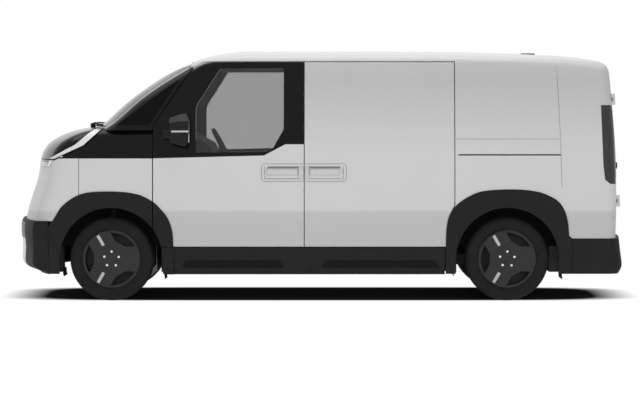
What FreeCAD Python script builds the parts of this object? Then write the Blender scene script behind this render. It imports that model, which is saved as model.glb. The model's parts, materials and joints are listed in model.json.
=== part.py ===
import FreeCAD, Part
import math
import os

V = FreeCAD.Vector

# Overall size of the van, in millimetres
body_half_width = 940.0
cladding_proud = 7.5
roof_z = 1905.0
tail_x = -2347.5
front_axle_x = 1578.0
rear_axle_x = -1417.0
panel_gap = 7.0
seat_gap = 0.3

# Side section: upright at the crease, tumblehome above it, tucked in below
crease_z = 690.0
tumblehome_r = 5100.0
tuck_slope = 0.077
sill_bottom_z = 200.0
sill_turn_z = 313.0
sill_front_x = 1192.0
sill_top_z = 410.0
belt_z = 1078.0
belt_rear_z = 1185.0
cant_z = 1806.0

# Wheels and tyres
tyre_r = 316.0
tyre_width = 205.0
tyre_bore_r = 203.0
wheel_centre_y = 787.0
rim_lip_r = 222.0
rim_width = 180.0
cover_r = 219.0
cover_plate = 9.0
cover_step = 7.0
spoke_half = 94.0
bolt_circle_r = 57.15
hub_face_gap = 0.5
hub_r = 72.0
hub_face_y = 732.0

# Openings round the wheels
arch_r = 398.0
arch_lip = 7.6
liner_r = 412.0
liner_thick = 4.0
liner_outer_y = 857.6
liner_leg_y = 640.0
liner_wall_z = 392.0
liner_low_z = 212.0
door_swing_room_r = 77.0
wing_cut_r = arch_r + 30.0
house_inner_y = 470.0

# Roof and windscreen
roof_crown_r = 6000.0
roof_front_x = 541.0
roof_rear_x = -640.0
header_x = 985.0
roof_joint_y = 735.0
screen_base_x = 1735.0
screen_base_z = 1310.0
screen_turn_x = -700.0
screen_half_top = 745.0
screen_half_base = 800.0
screen_thick = 6.0

# Walls and doors
skin_thick = 20.0
door_thick = 62.0
flange_step = 15.0
frame_gap = 4.0
inner_thick = 28.0
aperture_step = 52.0
roof_thick = 32.0
glass_thick = 5.0
glass_depth = 6.0
edge_r = 90.0
rear_edge_r = 80.0

# Front doors
door_front_x = 1258.7
door_rear_x = 122.4
door_front_gap = 8.0
door_hinge_x = 1200.0
door_hinge_y = 907.0
door_hinge_levels = (820.0, 1010.0)
hinge_pin_r = 6.0
hinge_fit = 0.05
hinge_boss_r = 11.0
hinge_strap_y = 834.0
post_plate_y = 812.0
post_x = 1274.0

# Sliding doors
slider_rear_x = -1014.0
rail_z = 1105.0
rail_groove = 12.0
rail_rear_x = -1819.0
handle_z = 972.0
handle_half_height = 50.0
handle_front_x = 423.0
handle_rear_x = -180.0
handle_depth = 14.0
grip_thick = 8.0
grip_half_height = 20.0

# Rear doors
rear_door_half = 742.0
rear_door_low_z = 486.0
rear_door_top_z = 1766.0
rear_door_split = 4.5
rear_hinge_y = 792.0
rear_hinge_proud = 16.0
rear_hinge_r = 11.0
rear_hinge_length = 84.0
rear_hinge_low_z = 754.0
rear_hinge_high_z = 1525.0

# Nose, bonnet and bumpers
nose_turn_x = -150.0
nose_corner_r = 150.0
bonnet_low_z = 1070.0
bonnet_line = [(1652, 1297), (1780, 1178), (2008, bonnet_low_z)]
lamp_low_z = 1008.0
lamp_front_x = 2052.0
bonnet_thick = 26.0
bonnet_hinge_x = 1600.0
bonnet_hinge_y = 700.0
bonnet_hinge_z = 1283.0
bonnet_eye_r = 13.0
bonnet_arm = [(4, 6), (72, -76), (116, 8), (146, 8), (146, -6), (90, -98), (66, -100), (-10, -9)]
wing_thick = 4.0
cowl_thick = 12.0
nose_thick = 30.0
wing_front_x = 1818.0
bumper_top_z = 606.0
bumper_thick = 45.0
bumper_corner_r = 40.0
skid_half = 640.0
rear_bumper_top_z = 474.0
rear_turn_r = 6000.0

# Steering
kingpin_y = 717.0
kingpin_r = 14.0
rail_low_z = 420.0
rail_high_z = 500.0
rack_z = 236.0
rack_r = 14.0
rack_half = 612.0
rack_x = front_axle_x - 128.0
steer_arm = 120.0
strut_y = 650.0
arm_top_z = 186.0

# Floor, cab and load space
battery_low_z = 186.0
battery_high_z = 330.0
cab_floor_z = battery_high_z + 14.3
load_floor_z = 585.0
floor_thick = 14.0
bulkhead_x = 40.0
bulkhead_thick = 24.0


def polygon_xz(points, y_from, y_to):
    """Prism over an outline of (x, z) points, from one y to another."""
    wire = Part.makePolygon([V(x, y_from, z) for x, z in points + points[:1]])
    return Part.Face(wire).extrude(V(0, y_to - y_from, 0))


def polygon_xy(points, z_from, z_to):
    """Prism over an outline of (x, y) points, from one height to another."""
    wire = Part.makePolygon([V(x, y, z_from) for x, y in points + points[:1]])
    return Part.Face(wire).extrude(V(0, 0, z_to - z_from))


def polygon_yz(points, x_from, x_to):
    """Prism over an outline of (y, z) points, from one x to another."""
    wire = Part.makePolygon([V(x_from, y, z) for y, z in points + points[:1]])
    return Part.Face(wire).extrude(V(x_to - x_from, 0, 0))


def block(x_from, x_to, y_from, y_to, z_from, z_to):
    """Box between two corners."""
    return Part.makeBox(x_to - x_from, y_to - y_from, z_to - z_from, V(x_from, y_from, z_from))


def rod(start, end, radius):
    """Cylinder from one point to another."""
    start, end = V(*start), V(*end)
    way = end - start
    return Part.makeCylinder(radius, way.Length, start, way)


def mirrored(shape):
    """The same piece on the right-hand side."""
    return shape.mirror(V(0, 0, 0), V(0, 1, 0))


def fused(shapes):
    """One solid from pieces that meet."""
    result = shapes[0]
    for shape in shapes[1:]:
        result = result.fuse(shape)
    return result.removeSplitter()


def on_both_sides(shape):
    """Left and right copies that share a node."""
    return Part.makeCompound(shape.Solids + mirrored(shape).Solids)


def grown(points, distance):
    """Outline of (x, z) points moved outwards by a distance, inwards if negative."""
    wire = Part.makePolygon([V(x, z, 0) for x, z in points + points[:1]])
    face = Part.Face(wire).makeOffset2D(distance, 2, False, False, True)
    ordered = face.OuterWire.OrderedVertexes
    return [(v.Point.x, v.Point.y) for v in ordered]


def side_y(z):
    """Half width of the body at a height."""
    if z >= crease_z:
        return body_half_width - tumblehome_r + math.sqrt(tumblehome_r ** 2 - (z - crease_z) ** 2)
    return body_half_width - (crease_z - z) * tuck_slope


def side_form(inset):
    """Long bar with the van's cross-section, its sides moved in by the inset."""
    radius = tumblehome_r - inset
    centre_y = body_half_width - tumblehome_r
    low_z, top_z = 120.0, 2060.0

    def flank(z, side):
        return V(0, side * (centre_y + math.sqrt(radius ** 2 - (z - crease_z) ** 2)), z)

    middle_z = (crease_z + top_z) / 2
    low = side_y(low_z) - inset
    edges = [
        Part.LineSegment(V(0, low, low_z), flank(crease_z, 1)).toShape(),
        Part.Arc(flank(crease_z, 1), flank(middle_z, 1), flank(top_z, 1)).toShape(),
        Part.LineSegment(flank(top_z, 1), flank(top_z, -1)).toShape(),
        Part.Arc(flank(top_z, -1), flank(middle_z, -1), flank(crease_z, -1)).toShape(),
        Part.LineSegment(flank(crease_z, -1), V(0, -low, low_z)).toShape(),
        Part.LineSegment(V(0, -low, low_z), V(0, low, low_z)).toShape(),
    ]
    bar = Part.Face(Part.Wire(edges)).extrude(V(5000, 0, 0))
    bar.translate(V(-2500, 0, 0))
    return bar


def roof_form(inset):
    """Crowned roof: its long profile turned about a line far below the van."""
    crown_z = roof_z - roof_crown_r
    top = roof_z - inset
    bow_r, rear_r, tail_r = 1300.0, 22000.0, 2400.0
    bow_angle, tail_angle = math.radians(28), math.radians(16)
    rear_angle = math.asin((roof_rear_x + 1826) / rear_r)

    def bow(angle):
        radius = bow_r - inset
        return V(roof_front_x + radius * math.sin(angle), 0, roof_z - bow_r + radius * math.cos(angle))

    def rear(angle):
        radius = rear_r - inset
        return V(roof_rear_x - radius * math.sin(angle), 0, roof_z - rear_r + radius * math.cos(angle))

    turn = rear(rear_angle)
    radius = tail_r - inset
    centre = V(turn.x + radius * math.sin(rear_angle), 0, turn.z - radius * math.cos(rear_angle))

    def tail(angle):
        return V(centre.x - radius * math.sin(angle), 0, centre.z + radius * math.cos(angle))

    end = tail(rear_angle + tail_angle)
    front = bow(bow_angle)
    tip = V(front.x + 900, 0, front.z - 900 * math.tan(bow_angle))
    edges = [
        Part.LineSegment(tip, front).toShape(),
        Part.Arc(front, bow(bow_angle / 2), V(roof_front_x, 0, top)).toShape(),
        Part.LineSegment(V(roof_front_x, 0, top), V(roof_rear_x, 0, top)).toShape(),
        Part.Arc(V(roof_rear_x, 0, top), rear(rear_angle / 2), turn).toShape(),
        Part.Arc(turn, tail(rear_angle + tail_angle / 2), end).toShape(),
        Part.LineSegment(end, V(end.x, 0, 100)).toShape(),
        Part.LineSegment(V(end.x, 0, 100), V(tip.x, 0, 100)).toShape(),
        Part.LineSegment(V(tip.x, 0, 100), tip).toShape(),
    ]
    face = Part.Face(Part.Wire(edges))
    face.rotate(V(0, 0, crown_z), V(1, 0, 0), -12)
    return face.revolve(V(0, 0, crown_z), V(1, 0, 0), 24)


def turned_cut(profile, turn_x, far_x, sweep):
    """Solid between a far face and a profile of (x, z) points turned about an upright line at turn_x."""
    curve = Part.BSplineCurve()
    curve.interpolate([V(x, 0, z) for x, z in profile])
    (first_x, first_z), (last_x, last_z) = profile[0], profile[-1]
    edges = [
        curve.toShape(),
        Part.LineSegment(V(last_x, 0, last_z), V(far_x, 0, last_z)).toShape(),
        Part.LineSegment(V(far_x, 0, last_z), V(far_x, 0, first_z)).toShape(),
        Part.LineSegment(V(far_x, 0, first_z), V(first_x, 0, first_z)).toShape(),
    ]
    face = Part.Face(Part.Wire(edges))
    face.rotate(V(turn_x, 0, 0), V(0, 0, 1), -sweep)
    solid = face.revolve(V(turn_x, 0, 0), V(0, 0, 1), 2 * sweep)
    return solid if solid.Volume > 0 else solid.reversed()


def screen_cut(inset):
    """All that lies ahead of the windscreen surface, turned about an upright line."""
    profile = [(1990, 1150), (1850, 1245), (screen_base_x, screen_base_z + 8), (1560, 1475),
               (1404, 1598), (1248, 1702), (1092, 1794), (900, 1880), (700, 1940)]
    lean = inset * 1.24
    return turned_cut([(x - lean, z) for x, z in profile], screen_turn_x, 2600, 40)


rear_profile = [(-2285, 120), (-2297, 430), (-2304, 690), (-2303, 900),
                (-2290, 1200), (-2262, 1560), (-2205, 2060)]


def rear_x(z):
    """Rear face on the centreline at a height."""
    for (x_a, z_a), (x_b, z_b) in zip(rear_profile, rear_profile[1:]):
        if z_a <= z <= z_b:
            return x_a + (x_b - x_a) * (z - z_a) / (z_b - z_a)
    return rear_profile[-1][0]


def rear_cut(inset):
    """All that lies behind the rear face, which is bowed gently both ways."""
    moved = [(x + inset, z) for x, z in rear_profile]
    turn_x = rear_profile[2][0] + rear_turn_r
    return turned_cut(moved, turn_x, -2900, 13)


def middle(edge):
    """Point half-way along an edge."""
    return edge.valueAt((edge.FirstParameter + edge.LastParameter) / 2)


def is_roof_edge(edge):
    spot = middle(edge)
    ends = [v.Point for v in edge.Vertexes]
    return abs(spot.y) > 760 and spot.z > 1760 and abs(ends[0].x - ends[-1].x) > 20


def is_pillar_edge(edge):
    spot = middle(edge)
    ends = [v.Point for v in edge.Vertexes]
    return (abs(spot.y) > 760 and spot.x > 990 and spot.z > 1150
            and abs(ends[0].z - ends[-1].z) > 60)


def is_rear_edge(edge):
    ends = [v.Point for v in edge.Vertexes]
    return all(p.x < -2160 for p in ends) and middle(edge).z > 122 and edge.Length > 20


def cabin_form(inset):
    """Outer shape behind the windscreen, or the same shape moved in by the inset."""
    body = side_form(inset).common(roof_form(inset))
    body = body.cut(rear_cut(inset)).cut(screen_cut(inset))
    edge = edge_r - inset
    if edge > 20:
        body = body.makeFillet(edge, [e for e in body.Edges if is_roof_edge(e) or is_pillar_edge(e)])
        body = body.makeFillet(rear_edge_r - inset, [e for e in body.Edges if is_rear_edge(e)])
    return body


nose_profile = [(2320, 540), (2304, 626), (2262, 782), (2222, 900), (2203, 1000), (2192, 1072),
                (2166, 1137), (2123, 1190), (2069, 1227), (1994, 1263), (1900, 1292),
                (1780, 1312), (1560, 1324), (1200, 1334)]


def is_nose_corner(edge):
    spot = middle(edge)
    ends = [v.Point for v in edge.Vertexes]
    return abs(spot.y) > 850 and spot.x > 1500 and abs(ends[0].z - ends[-1].z) > 60


def nose_form(inset):
    """Nose and bonnet in one sweep, turned about an upright line behind the cab."""
    moved = [(x - inset, z - inset * min(1.0, max(0.0, (z - 1072) / 190))) for x, z in nose_profile]
    low_z, top_z = nose_profile[0][1], nose_profile[-1][1]
    body = side_form(inset).common(block(900, 2600, -1000, 1000, low_z, top_z - inset))
    body = body.cut(turned_cut(moved, nose_turn_x, 3200, 46))
    corner = nose_corner_r - inset
    if corner > 20:
        body = body.makeFillet(corner, [e for e in body.Edges if is_nose_corner(e)])
    return body


front_bumper_profile = [(2200, 150), (2230, 210), (2330, 262), (2339, 360), (2344, 480),
                        (2347.2, 540), (2339, 590), (2320, 620)]
rear_bumper_profile = [(-2240, 150), (-2318, 205), (-2344, 250), (-2341, 330), (-2330, 420),
                       (-2322, 500)]


def bumper_form(profile, inset, turn_x, way, sweep, corner):
    """Bumper shape at one end: way is 1 at the nose and -1 at the tail."""
    moved = [(x - way * inset, z) for x, z in profile]
    low_z, top_z = profile[0][1], profile[-1][1]
    reach = sorted([way * 1700, way * 2600])
    body = side_form(inset - cladding_proud).common(block(*reach, -1000, 1000, low_z, top_z))
    body = body.cut(turned_cut(moved, turn_x, way * 3200, sweep))
    edges = [e for e in body.Edges if abs(middle(e).y) > 700 and way * middle(e).x > 1800
             and abs(e.Vertexes[0].Point.z - e.Vertexes[-1].Point.z) > 60]
    return body.makeFillet(corner - inset, edges) if corner - inset > 20 else body


def front_bumper_form(inset):
    return bumper_form(front_bumper_profile, inset, nose_turn_x, 1, 46, bumper_corner_r)


def rear_bumper_form(inset):
    return bumper_form(rear_bumper_profile, inset, rear_turn_r + tail_x, -1, 13, rear_edge_r)


forms = {}


def form(make, inset):
    """One form at one inset, made once."""
    key = (make.__name__, inset)
    if key not in forms:
        forms[key] = make(inset)
    return forms[key]


def wall(make, outer, inner):
    """Wall between two insets of one form."""
    key = (make.__name__, outer, inner)
    if key not in forms:
        forms[key] = form(make, outer).cut(form(make, inner))
    return forms[key]


def left_wall(make, outer, inner):
    """Left half of such a wall."""
    key = (make.__name__, outer, inner, "left")
    if key not in forms:
        left = block(-2600, 2600, 0, 1100, 0, 2100)
        forms[key] = form(make, outer).common(left).cut(form(make, inner))
    return forms[key]


def left_prism(points):
    return polygon_xz(points, 250, 1100)


# Side-view outlines as (x, z) points
door_outline = [(door_front_x, 1307), (1240, 1355), (1023, 1673), (927, cant_z),
                (door_rear_x, cant_z), (door_rear_x, sill_top_z + 3), (door_front_x, sill_top_z + 3)]
slider_outline = [(door_rear_x - panel_gap, cant_z), (slider_rear_x, cant_z), (slider_rear_x, 728),
                  (-990, 680), (-962, 600), (-950, sill_top_z + 3),
                  (door_rear_x - panel_gap, sill_top_z + 3)]
above_belt = [(1300, belt_z), (425, belt_z + 22), (391, belt_z + 39), (261, belt_rear_z),
              (60, belt_rear_z), (60, 1900), (1300, 1900)]
window_outline = [(937, 1120), (937, 1460), (925, 1491), (755, 1755), (274, 1759), (274, 1299),
                  (357, 1152), (391, 1132)]
quarter_outline = [(1535, 1330), (1292, 1330), (1064, 1675)]
lamp_outline = [(-2122, 1481), (-2137, 1032), (-2150, 917), (-2190, 886), (-2500, 886), (-2500, 1481)]


def arch_prism(axle_x, radius, y_from, y_to):
    """Space of a wheel opening, open to the ground."""
    bore = Part.makeCylinder(radius, y_to - y_from, V(axle_x, y_from, tyre_r), V(0, 1, 0))
    return bore.fuse(block(axle_x - radius, axle_x + radius, y_from, y_to, 0, tyre_r))


def two_layers(outline):
    """Door slab whose outer skin laps past its inner frame."""
    outer = form(cabin_form, 0).common(left_prism(outline)).cut(form(side_form, skin_thick))
    inner = form(cabin_form, skin_thick).common(left_prism(grown(outline, -flange_step)))
    return outer.fuse(inner.cut(form(side_form, door_thick)))


def handle_outline(step):
    """Long eight-sided recess across the door gap, moved out by a step."""
    front, rear = handle_front_x + step, handle_rear_x - step
    half = handle_half_height + step
    corner = 36.0
    return [(front, handle_z - half + corner), (front, handle_z + half - corner),
            (front - corner, handle_z + half), (rear + corner, handle_z + half),
            (rear, handle_z + half - corner), (rear, handle_z - half + corner),
            (rear + corner, handle_z - half), (front - corner, handle_z - half)]


def with_handle(door, grip_from, grip_to, bridge_from, bridge_to):
    """Door with its share of the stepped recess, the grip over it and the bridge at the gap."""
    door = door.cut(left_prism(handle_outline(20)).cut(form(side_form, 3)))
    door = door.cut(left_prism(handle_outline(0)).cut(form(side_form, handle_depth)))
    low, high = handle_z - grip_half_height, handle_z + grip_half_height
    skin = form(side_form, 1).cut(form(side_form, 1 + grip_thick))
    feet = form(side_form, 1).cut(form(side_form, handle_depth + 2))
    grip = skin.common(block(grip_from, grip_to, 700, 1000, low, high))
    pieces = [door, grip]
    for start in (grip_from, grip_to - 34):
        pieces.append(feet.common(block(start, start + 34, 700, 1000, low + 5, high - 5)))
    floor = form(side_form, 6).cut(form(side_form, handle_depth + 2))
    pieces.append(floor.common(block(bridge_from, bridge_to, 700, 1000, low - 2, high + 2)))
    return fused(pieces)


def side_groove(points, width, depth):
    """Groove in the body side along a line of (x, z) points."""
    strips = []
    for (x_a, z_a), (x_b, z_b) in zip(points, points[1:]):
        length = math.hypot(x_b - x_a, z_b - z_a)
        dx, dz = (x_b - x_a) / length * width / 2, (z_b - z_a) / length * width / 2
        strips.append(left_prism([(x_a - dx - dz, z_a - dz + dx), (x_b + dx - dz, z_b + dz + dx),
                                  (x_b + dx + dz, z_b + dz - dx), (x_a - dx + dz, z_a - dz - dx)]))
    return fused(strips).cut(form(side_form, depth))


def front_door():
    """Front door as its painted panel, its black upper frame and the glass."""
    slab = two_layers(door_outline).cut(arch_prism(front_axle_x, arch_r + 6, 250, 1100))
    upper = left_prism(above_belt)
    panel = slab.cut(upper)
    for level in door_hinge_levels:
        panel = panel.cut(block(door_hinge_x - 16, 1300, 700, door_hinge_y + 14, level - 40, level + 40))
        panel = panel.fuse(rod((door_hinge_x, door_hinge_y, level - 52),
                               (door_hinge_x, door_hinge_y, level + 52), hinge_pin_r))
    panel = with_handle(panel, 170.0, 396.0, door_rear_x, 160.0)
    frame = slab.common(upper).cut(left_prism(window_outline))
    pane = form(cabin_form, glass_depth).common(left_prism(grown(window_outline, -seat_gap)))
    return panel, frame, pane.cut(form(side_form, glass_depth + glass_thick))


def sliding_door():
    """Sliding door with its half of the handle recess."""
    return with_handle(two_layers(slider_outline), -144.0, 73.0, 83.0, door_rear_x - panel_gap)


def body_side():
    """Side wall with its door openings, the pillars between them and the roof rail."""
    depth = door_thick + frame_gap
    slab = left_wall(cabin_form, 0, depth + inner_thick)
    low_z = sill_top_z - 2.7
    outline = [(-2400, rear_bumper_top_z + seat_gap), (-1800, rear_bumper_top_z + seat_gap), (-1800, low_z),
               (1150, low_z), (1268, 640), (1268, 1290), (1760, 1290), (1760, 1950), (-2400, 1950)]
    side = slab.common(left_prism(outline))
    for opening in (door_outline, slider_outline):
        pocket = left_prism(grown(opening, panel_gap)).cut(form(side_form, depth))
        side = side.cut(pocket).cut(left_prism(grown(opening, -aperture_step)))
    side = side.cut(side_groove([(slider_rear_x - 30, rail_z), (rail_rear_x, rail_z)], rail_groove, 16))
    side = side.cut(side_groove([(slider_rear_x - 12, 1225), (rail_rear_x + 4, 1225)], 4, 3))
    side = side.cut(side_groove([(-1793, 1741), (-1815, 1220), (-1825, 860)], 4, 3))
    side = side.cut(block(1050, 1272, 250, 1100, 380, 1300))
    side = side.cut(block(1060, 1275, 250, 1100, 1280, 1430).common(form(side_form, depth - 2)))
    side = side.cut(left_prism(quarter_outline).cut(form(side_form, 110)))
    side = side.cut(arch_prism(rear_axle_x, arch_r, 250, 1100))
    side = side.cut(arch_prism(rear_axle_x, liner_r + seat_gap, 250, liner_outer_y + 4))
    side = side.cut(block(-2400, header_x, 0, roof_joint_y + 0.5, 1700, 2000))
    side = side.cut(screen_prism(0.5)).cut(form(nose_form, 0))
    lamp = polygon_xz(lamp_outline, rear_door_half, 1100)
    side = side.cut(lamp.common(left_wall(cabin_form, 0, 52.5)))
    side = side.cut(block(-3000, -2090, 0, rear_door_half + panel_gap, rear_door_low_z - 10,
                          rear_door_top_z + panel_gap + 2))
    for level in (rear_hinge_low_z, rear_hinge_high_z):
        for piece in rear_hinge_body(level):
            side = side.fuse(piece)
    return max(side.Solids, key=lambda solid: solid.Volume)


def rear_hinge_x(z):
    """Place of the rear door's hinge line at a height, clear of the bowed rear face."""
    return rear_x(z) + rear_hinge_y ** 2 / (2 * rear_turn_r) - rear_hinge_proud


def rear_hinge_barrel(level, low, high):
    """Length of hinge barrel between two shares of the hinge's height."""
    start, end = level + (low - 0.5) * rear_hinge_length, level + (high - 0.5) * rear_hinge_length
    slope = (rear_hinge_x(rear_hinge_high_z) - rear_hinge_x(rear_hinge_low_z)) / (
        rear_hinge_high_z - rear_hinge_low_z)
    base = rear_hinge_x(level)
    return rod((base + slope * (start - level), rear_hinge_y, start),
               (base + slope * (end - level), rear_hinge_y, end), rear_hinge_r)


def rear_hinge_body(level):
    """Two outer barrels with their pads on the pillar."""
    x = rear_hinge_x(level)
    made = []
    for low, high in ((0.0, 0.3), (0.7, 1.0)):
        start, end = level + (low - 0.5) * rear_hinge_length, level + (high - 0.5) * rear_hinge_length
        made.append(rear_hinge_barrel(level, low, high))
        made.append(block(x - 5, x + 24, rear_hinge_y, rear_hinge_y + 40, start, end))
    return made


def rear_hinge_door(level):
    """Middle barrel with the strap that reaches back over the gap to the door."""
    x = rear_hinge_x(level)
    start, end = level - 0.185 * rear_hinge_length, level + 0.185 * rear_hinge_length
    strap = block(x - 5, x + 5, rear_door_half - 50, rear_hinge_y, start, end)
    pad = block(x - 5, x + 20, rear_door_half - 90, rear_door_half - 12, start, end)
    return [rear_hinge_barrel(level, 0.315, 0.685), strap, pad]


def screen_prism(room):
    """Front-view outline of the windscreen ahead of the roof's edge."""
    low, high = screen_half_base + room, screen_half_top + room
    outline = [(-low, screen_base_z + 16 - room), (low, screen_base_z + 16 - room),
               (high, 1880), (high, 1990), (-high, 1990), (-high, 1880)]
    return polygon_yz(outline, header_x + 3 - room, 2100)


def roof_panel():
    sheet = wall(cabin_form, 0, roof_thick)
    plan = block(-2400, header_x, -roof_joint_y, roof_joint_y, rear_door_top_z + panel_gap, 2000)
    return sheet.common(plan)


def windscreen():
    sheet = wall(cabin_form, glass_depth, glass_depth + screen_thick)
    return sheet.common(screen_prism(0))


def quarter_window():
    sheet = left_wall(cabin_form, glass_depth, glass_depth + glass_thick)
    return sheet.common(left_prism(grown(quarter_outline, -seat_gap)))


def tail_lamp():
    """Tail lamp wrapped round the rear corner beside the door."""
    lens = left_wall(cabin_form, 1, 51.5)
    return lens.common(polygon_xz(grown(lamp_outline, -0.5), rear_door_half + panel_gap, 1100))


def rear_door():
    """One of the twin doors, with its share of the outside hinges."""
    slab = left_wall(cabin_form, 0, 50)
    door = slab.common(block(-2600, -2120, rear_door_split, rear_door_half, rear_door_low_z,
                             rear_door_top_z))
    for low, high in ((1090, 1650), (620, 930)):
        door = door.cut(block(-2600, -2120, 95, 650, low, high).common(rear_cut(5)))
    for level in (rear_hinge_low_z, rear_hinge_high_z):
        door = fused([door] + rear_hinge_door(level))
    return max(door.Solids, key=lambda solid: solid.Volume)


def bonnet_space(room):
    """Space over the bonnet's edge, which falls forward along each flank, moved out by a room."""
    outline = bonnet_line + [(2500, bonnet_low_z), (2500, 1600), (bonnet_line[0][0], 1600)]
    space = polygon_xz(grown(outline, room) if room else outline, -1100, 1100)
    radius = screen_base_x - screen_turn_x + 40 - room
    return space.cut(Part.makeCylinder(radius, 800, V(screen_turn_x, 0, 1000)))


def bonnet():
    """Clamshell bonnet with the two swan-necked arms it turns on."""
    lid = wall(nose_form, 0, bonnet_thick).common(bonnet_space(0))
    for side in (1, -1):
        ys = sorted([side * (bonnet_hinge_y + 12), side * (bonnet_hinge_y + 20)])
        outline = [(bonnet_hinge_x + x, bonnet_hinge_z + z) for x, z in bonnet_arm]
        arm = polygon_xz(outline, ys[0], ys[1])
        arm = arm.fuse(rod((bonnet_hinge_x, ys[0], bonnet_hinge_z),
                           (bonnet_hinge_x, ys[1], bonnet_hinge_z), bonnet_eye_r))
        lid = lid.fuse(arm)
        lid = lid.cut(rod((bonnet_hinge_x, side * (bonnet_hinge_y + 5), bonnet_hinge_z),
                          (bonnet_hinge_x, side * (bonnet_hinge_y + 30), bonnet_hinge_z), 5.05))
    return lid


def cowl():
    """Black trough between the bonnet and the windscreen, with the bonnet's hinge plates."""
    sheet = wall(nose_form, 0, cowl_thick)
    radius = screen_base_x - screen_turn_x
    ring = Part.makeCylinder(radius + 34, 400, V(screen_turn_x, 0, 1200))
    ring = ring.cut(Part.makeCylinder(radius - 90, 400, V(screen_turn_x, 0, 1200)))
    under_skin = nose_form(2)
    pieces = [sheet.common(ring).common(block(1400, 1900, -783, 783, 1200, 1500))]
    for side in (1, -1):
        ys = sorted([side * bonnet_hinge_y, side * (bonnet_hinge_y + 8)])
        pieces.append(block(bonnet_hinge_x - 35, bonnet_hinge_x + 9, ys[0], ys[1],
                            bonnet_hinge_z - 9, bonnet_hinge_z + 60).common(under_skin))
        pieces.append(rod((bonnet_hinge_x, side * (bonnet_hinge_y + 4), bonnet_hinge_z),
                          (bonnet_hinge_x, side * (bonnet_hinge_y + 24), bonnet_hinge_z), 5))
    return fused(pieces)


def wing_top():
    """Black top of a front wing, below the bonnet's edge and beside the cowl."""
    sheet = left_wall(nose_form, 0, cowl_thick)
    outline = [(door_front_x + door_front_gap, belt_z), (2060, belt_z), (2060, 1400),
               (door_front_x + door_front_gap, 1400)]
    side = sheet.common(left_prism(outline)).cut(bonnet_space(panel_gap))
    return side.cut(block(1200, 1800, 0, 783.5, 1200, 1500))


def front_wing():
    sheet = left_wall(nose_form, 0, wing_thick)
    outline = [(door_front_x + door_front_gap, bumper_top_z + seat_gap), (wing_front_x, bumper_top_z + seat_gap),
               (wing_front_x, belt_z - seat_gap), (door_front_x + door_front_gap, belt_z - seat_gap)]
    return sheet.common(left_prism(outline)).cut(arch_prism(front_axle_x, wing_cut_r, 250, 1100))


def nose_panel():
    """White face of the nose with the lamp pockets at its upper corners."""
    sheet = wall(nose_form, 0, nose_thick)
    face = sheet.common(block(wing_front_x + 4, 2600, -1000, 1000, bumper_top_z + seat_gap, belt_z - seat_gap))
    face = face.cut(bonnet_space(panel_gap)).cut(on_both_sides(lamp_pocket(seat_gap)))
    return face.cut(arch_prism(front_axle_x, wing_cut_r, -1100, 1100))


def lamp_pocket(room):
    """Place of a headlamp at the corner, under the bonnet's front edge."""
    outline = [(lamp_front_x, lamp_low_z), (lamp_front_x - 38, bonnet_low_z - panel_gap - 2),
               (2300, bonnet_low_z - panel_gap - 2), (2300, lamp_low_z)]
    return polygon_xz(grown(outline, room) if room else outline, 540 - room, 1000)


def headlamp():
    """Lamp body behind its flush lens."""
    return left_wall(nose_form, 1, 60).common(lamp_pocket(0))


def front_bumper():
    slab = wall(front_bumper_form, 0, bumper_thick)
    low = block(2053, 2600, -1000, 1000, sill_bottom_z, bumper_top_z)
    insert = block(2100, 2600, -skid_half, skid_half, 0, bumper_top_z - 20)
    return slab.common(low).cut(insert)


def bumper_insert():
    """Grey centre of the front bumper with its slots."""
    slab = wall(front_bumper_form, 0, bumper_thick)
    insert = slab.common(block(2100, 2600, 0.5 - skid_half, skid_half - 0.5, 464, bumper_top_z - 20.5))
    for level in (482.0, 508.0, 534.0):
        insert = insert.cut(block(2316, 2600, -470, 470, level, level + 14))
    return insert


def skid_plate():
    slab = wall(front_bumper_form, 3, bumper_thick)
    return slab.common(block(2100, 2600, 0.5 - skid_half, skid_half - 0.5, 208, 463.5))


def rear_bumper():
    slab = wall(rear_bumper_form, 0, 60)
    return slab.common(block(-2600, -1908, -1000, 1000, 205, rear_bumper_top_z))


front_arch_outline = [(2050, 565), (1996, 640), (1860, 742), (1760, 800), (1669, 827), (1505, 827),
                      (1341, 796), (1255, 748), (1158, 642), (1115, 527), (1108, sill_top_z),
                      (1108, 205), (2050, 205)]
rear_arch_outline = [(-950, sill_top_z), (-962, 600), (-1021, 718), (-1181, 819), (-1343, 842),
                     (-1528, 842), (-1690, 814), (-1782, 768), (-1852, 669), (-1880, 496),
                     (-1905, rear_bumper_top_z), (-1905, 205), (-950, 205)]


def arch_cladding(outline, axle_x):
    """Grained wheel arch moulding with its rolled lip."""
    skin = side_form(-cladding_proud).cut(side_form(-seat_gap))
    skin = skin.common(left_prism(outline))
    rim = Part.makeCylinder(arch_r - 0.4, 90, V(axle_x, 862.5, tyre_r), V(0, 1, 0))
    rim = rim.common(side_form(-cladding_proud)).common(block(axle_x - 500, axle_x + 500, 800, 1000, tyre_r, 900))
    return skin.fuse(rim).cut(arch_prism(axle_x, arch_r - arch_lip, 250, 1100))


def sill():
    """Cladded sill whose foot turns in towards the ground."""
    skin = side_form(0).cut(side_form(door_thick + frame_gap + inner_thick))
    outline = [(sill_front_x, sill_bottom_z), (sill_front_x, sill_top_z - 3), (-945, sill_top_z - 3),
               (-945, sill_bottom_z)]
    foot = polygon_yz([(side_y(sill_turn_z), sill_turn_z), (side_y(sill_turn_z) - 34, sill_bottom_z - 1),
                       (1000, sill_bottom_z - 1), (1000, sill_turn_z)], -950, 1105)
    made = skin.common(left_prism(outline)).cut(foot)
    made = made.cut(arch_prism(front_axle_x, arch_r + 0.4, 250, 1100))
    return made.cut(arch_prism(front_axle_x, liner_r + seat_gap, 250, liner_outer_y + seat_gap))


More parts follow.
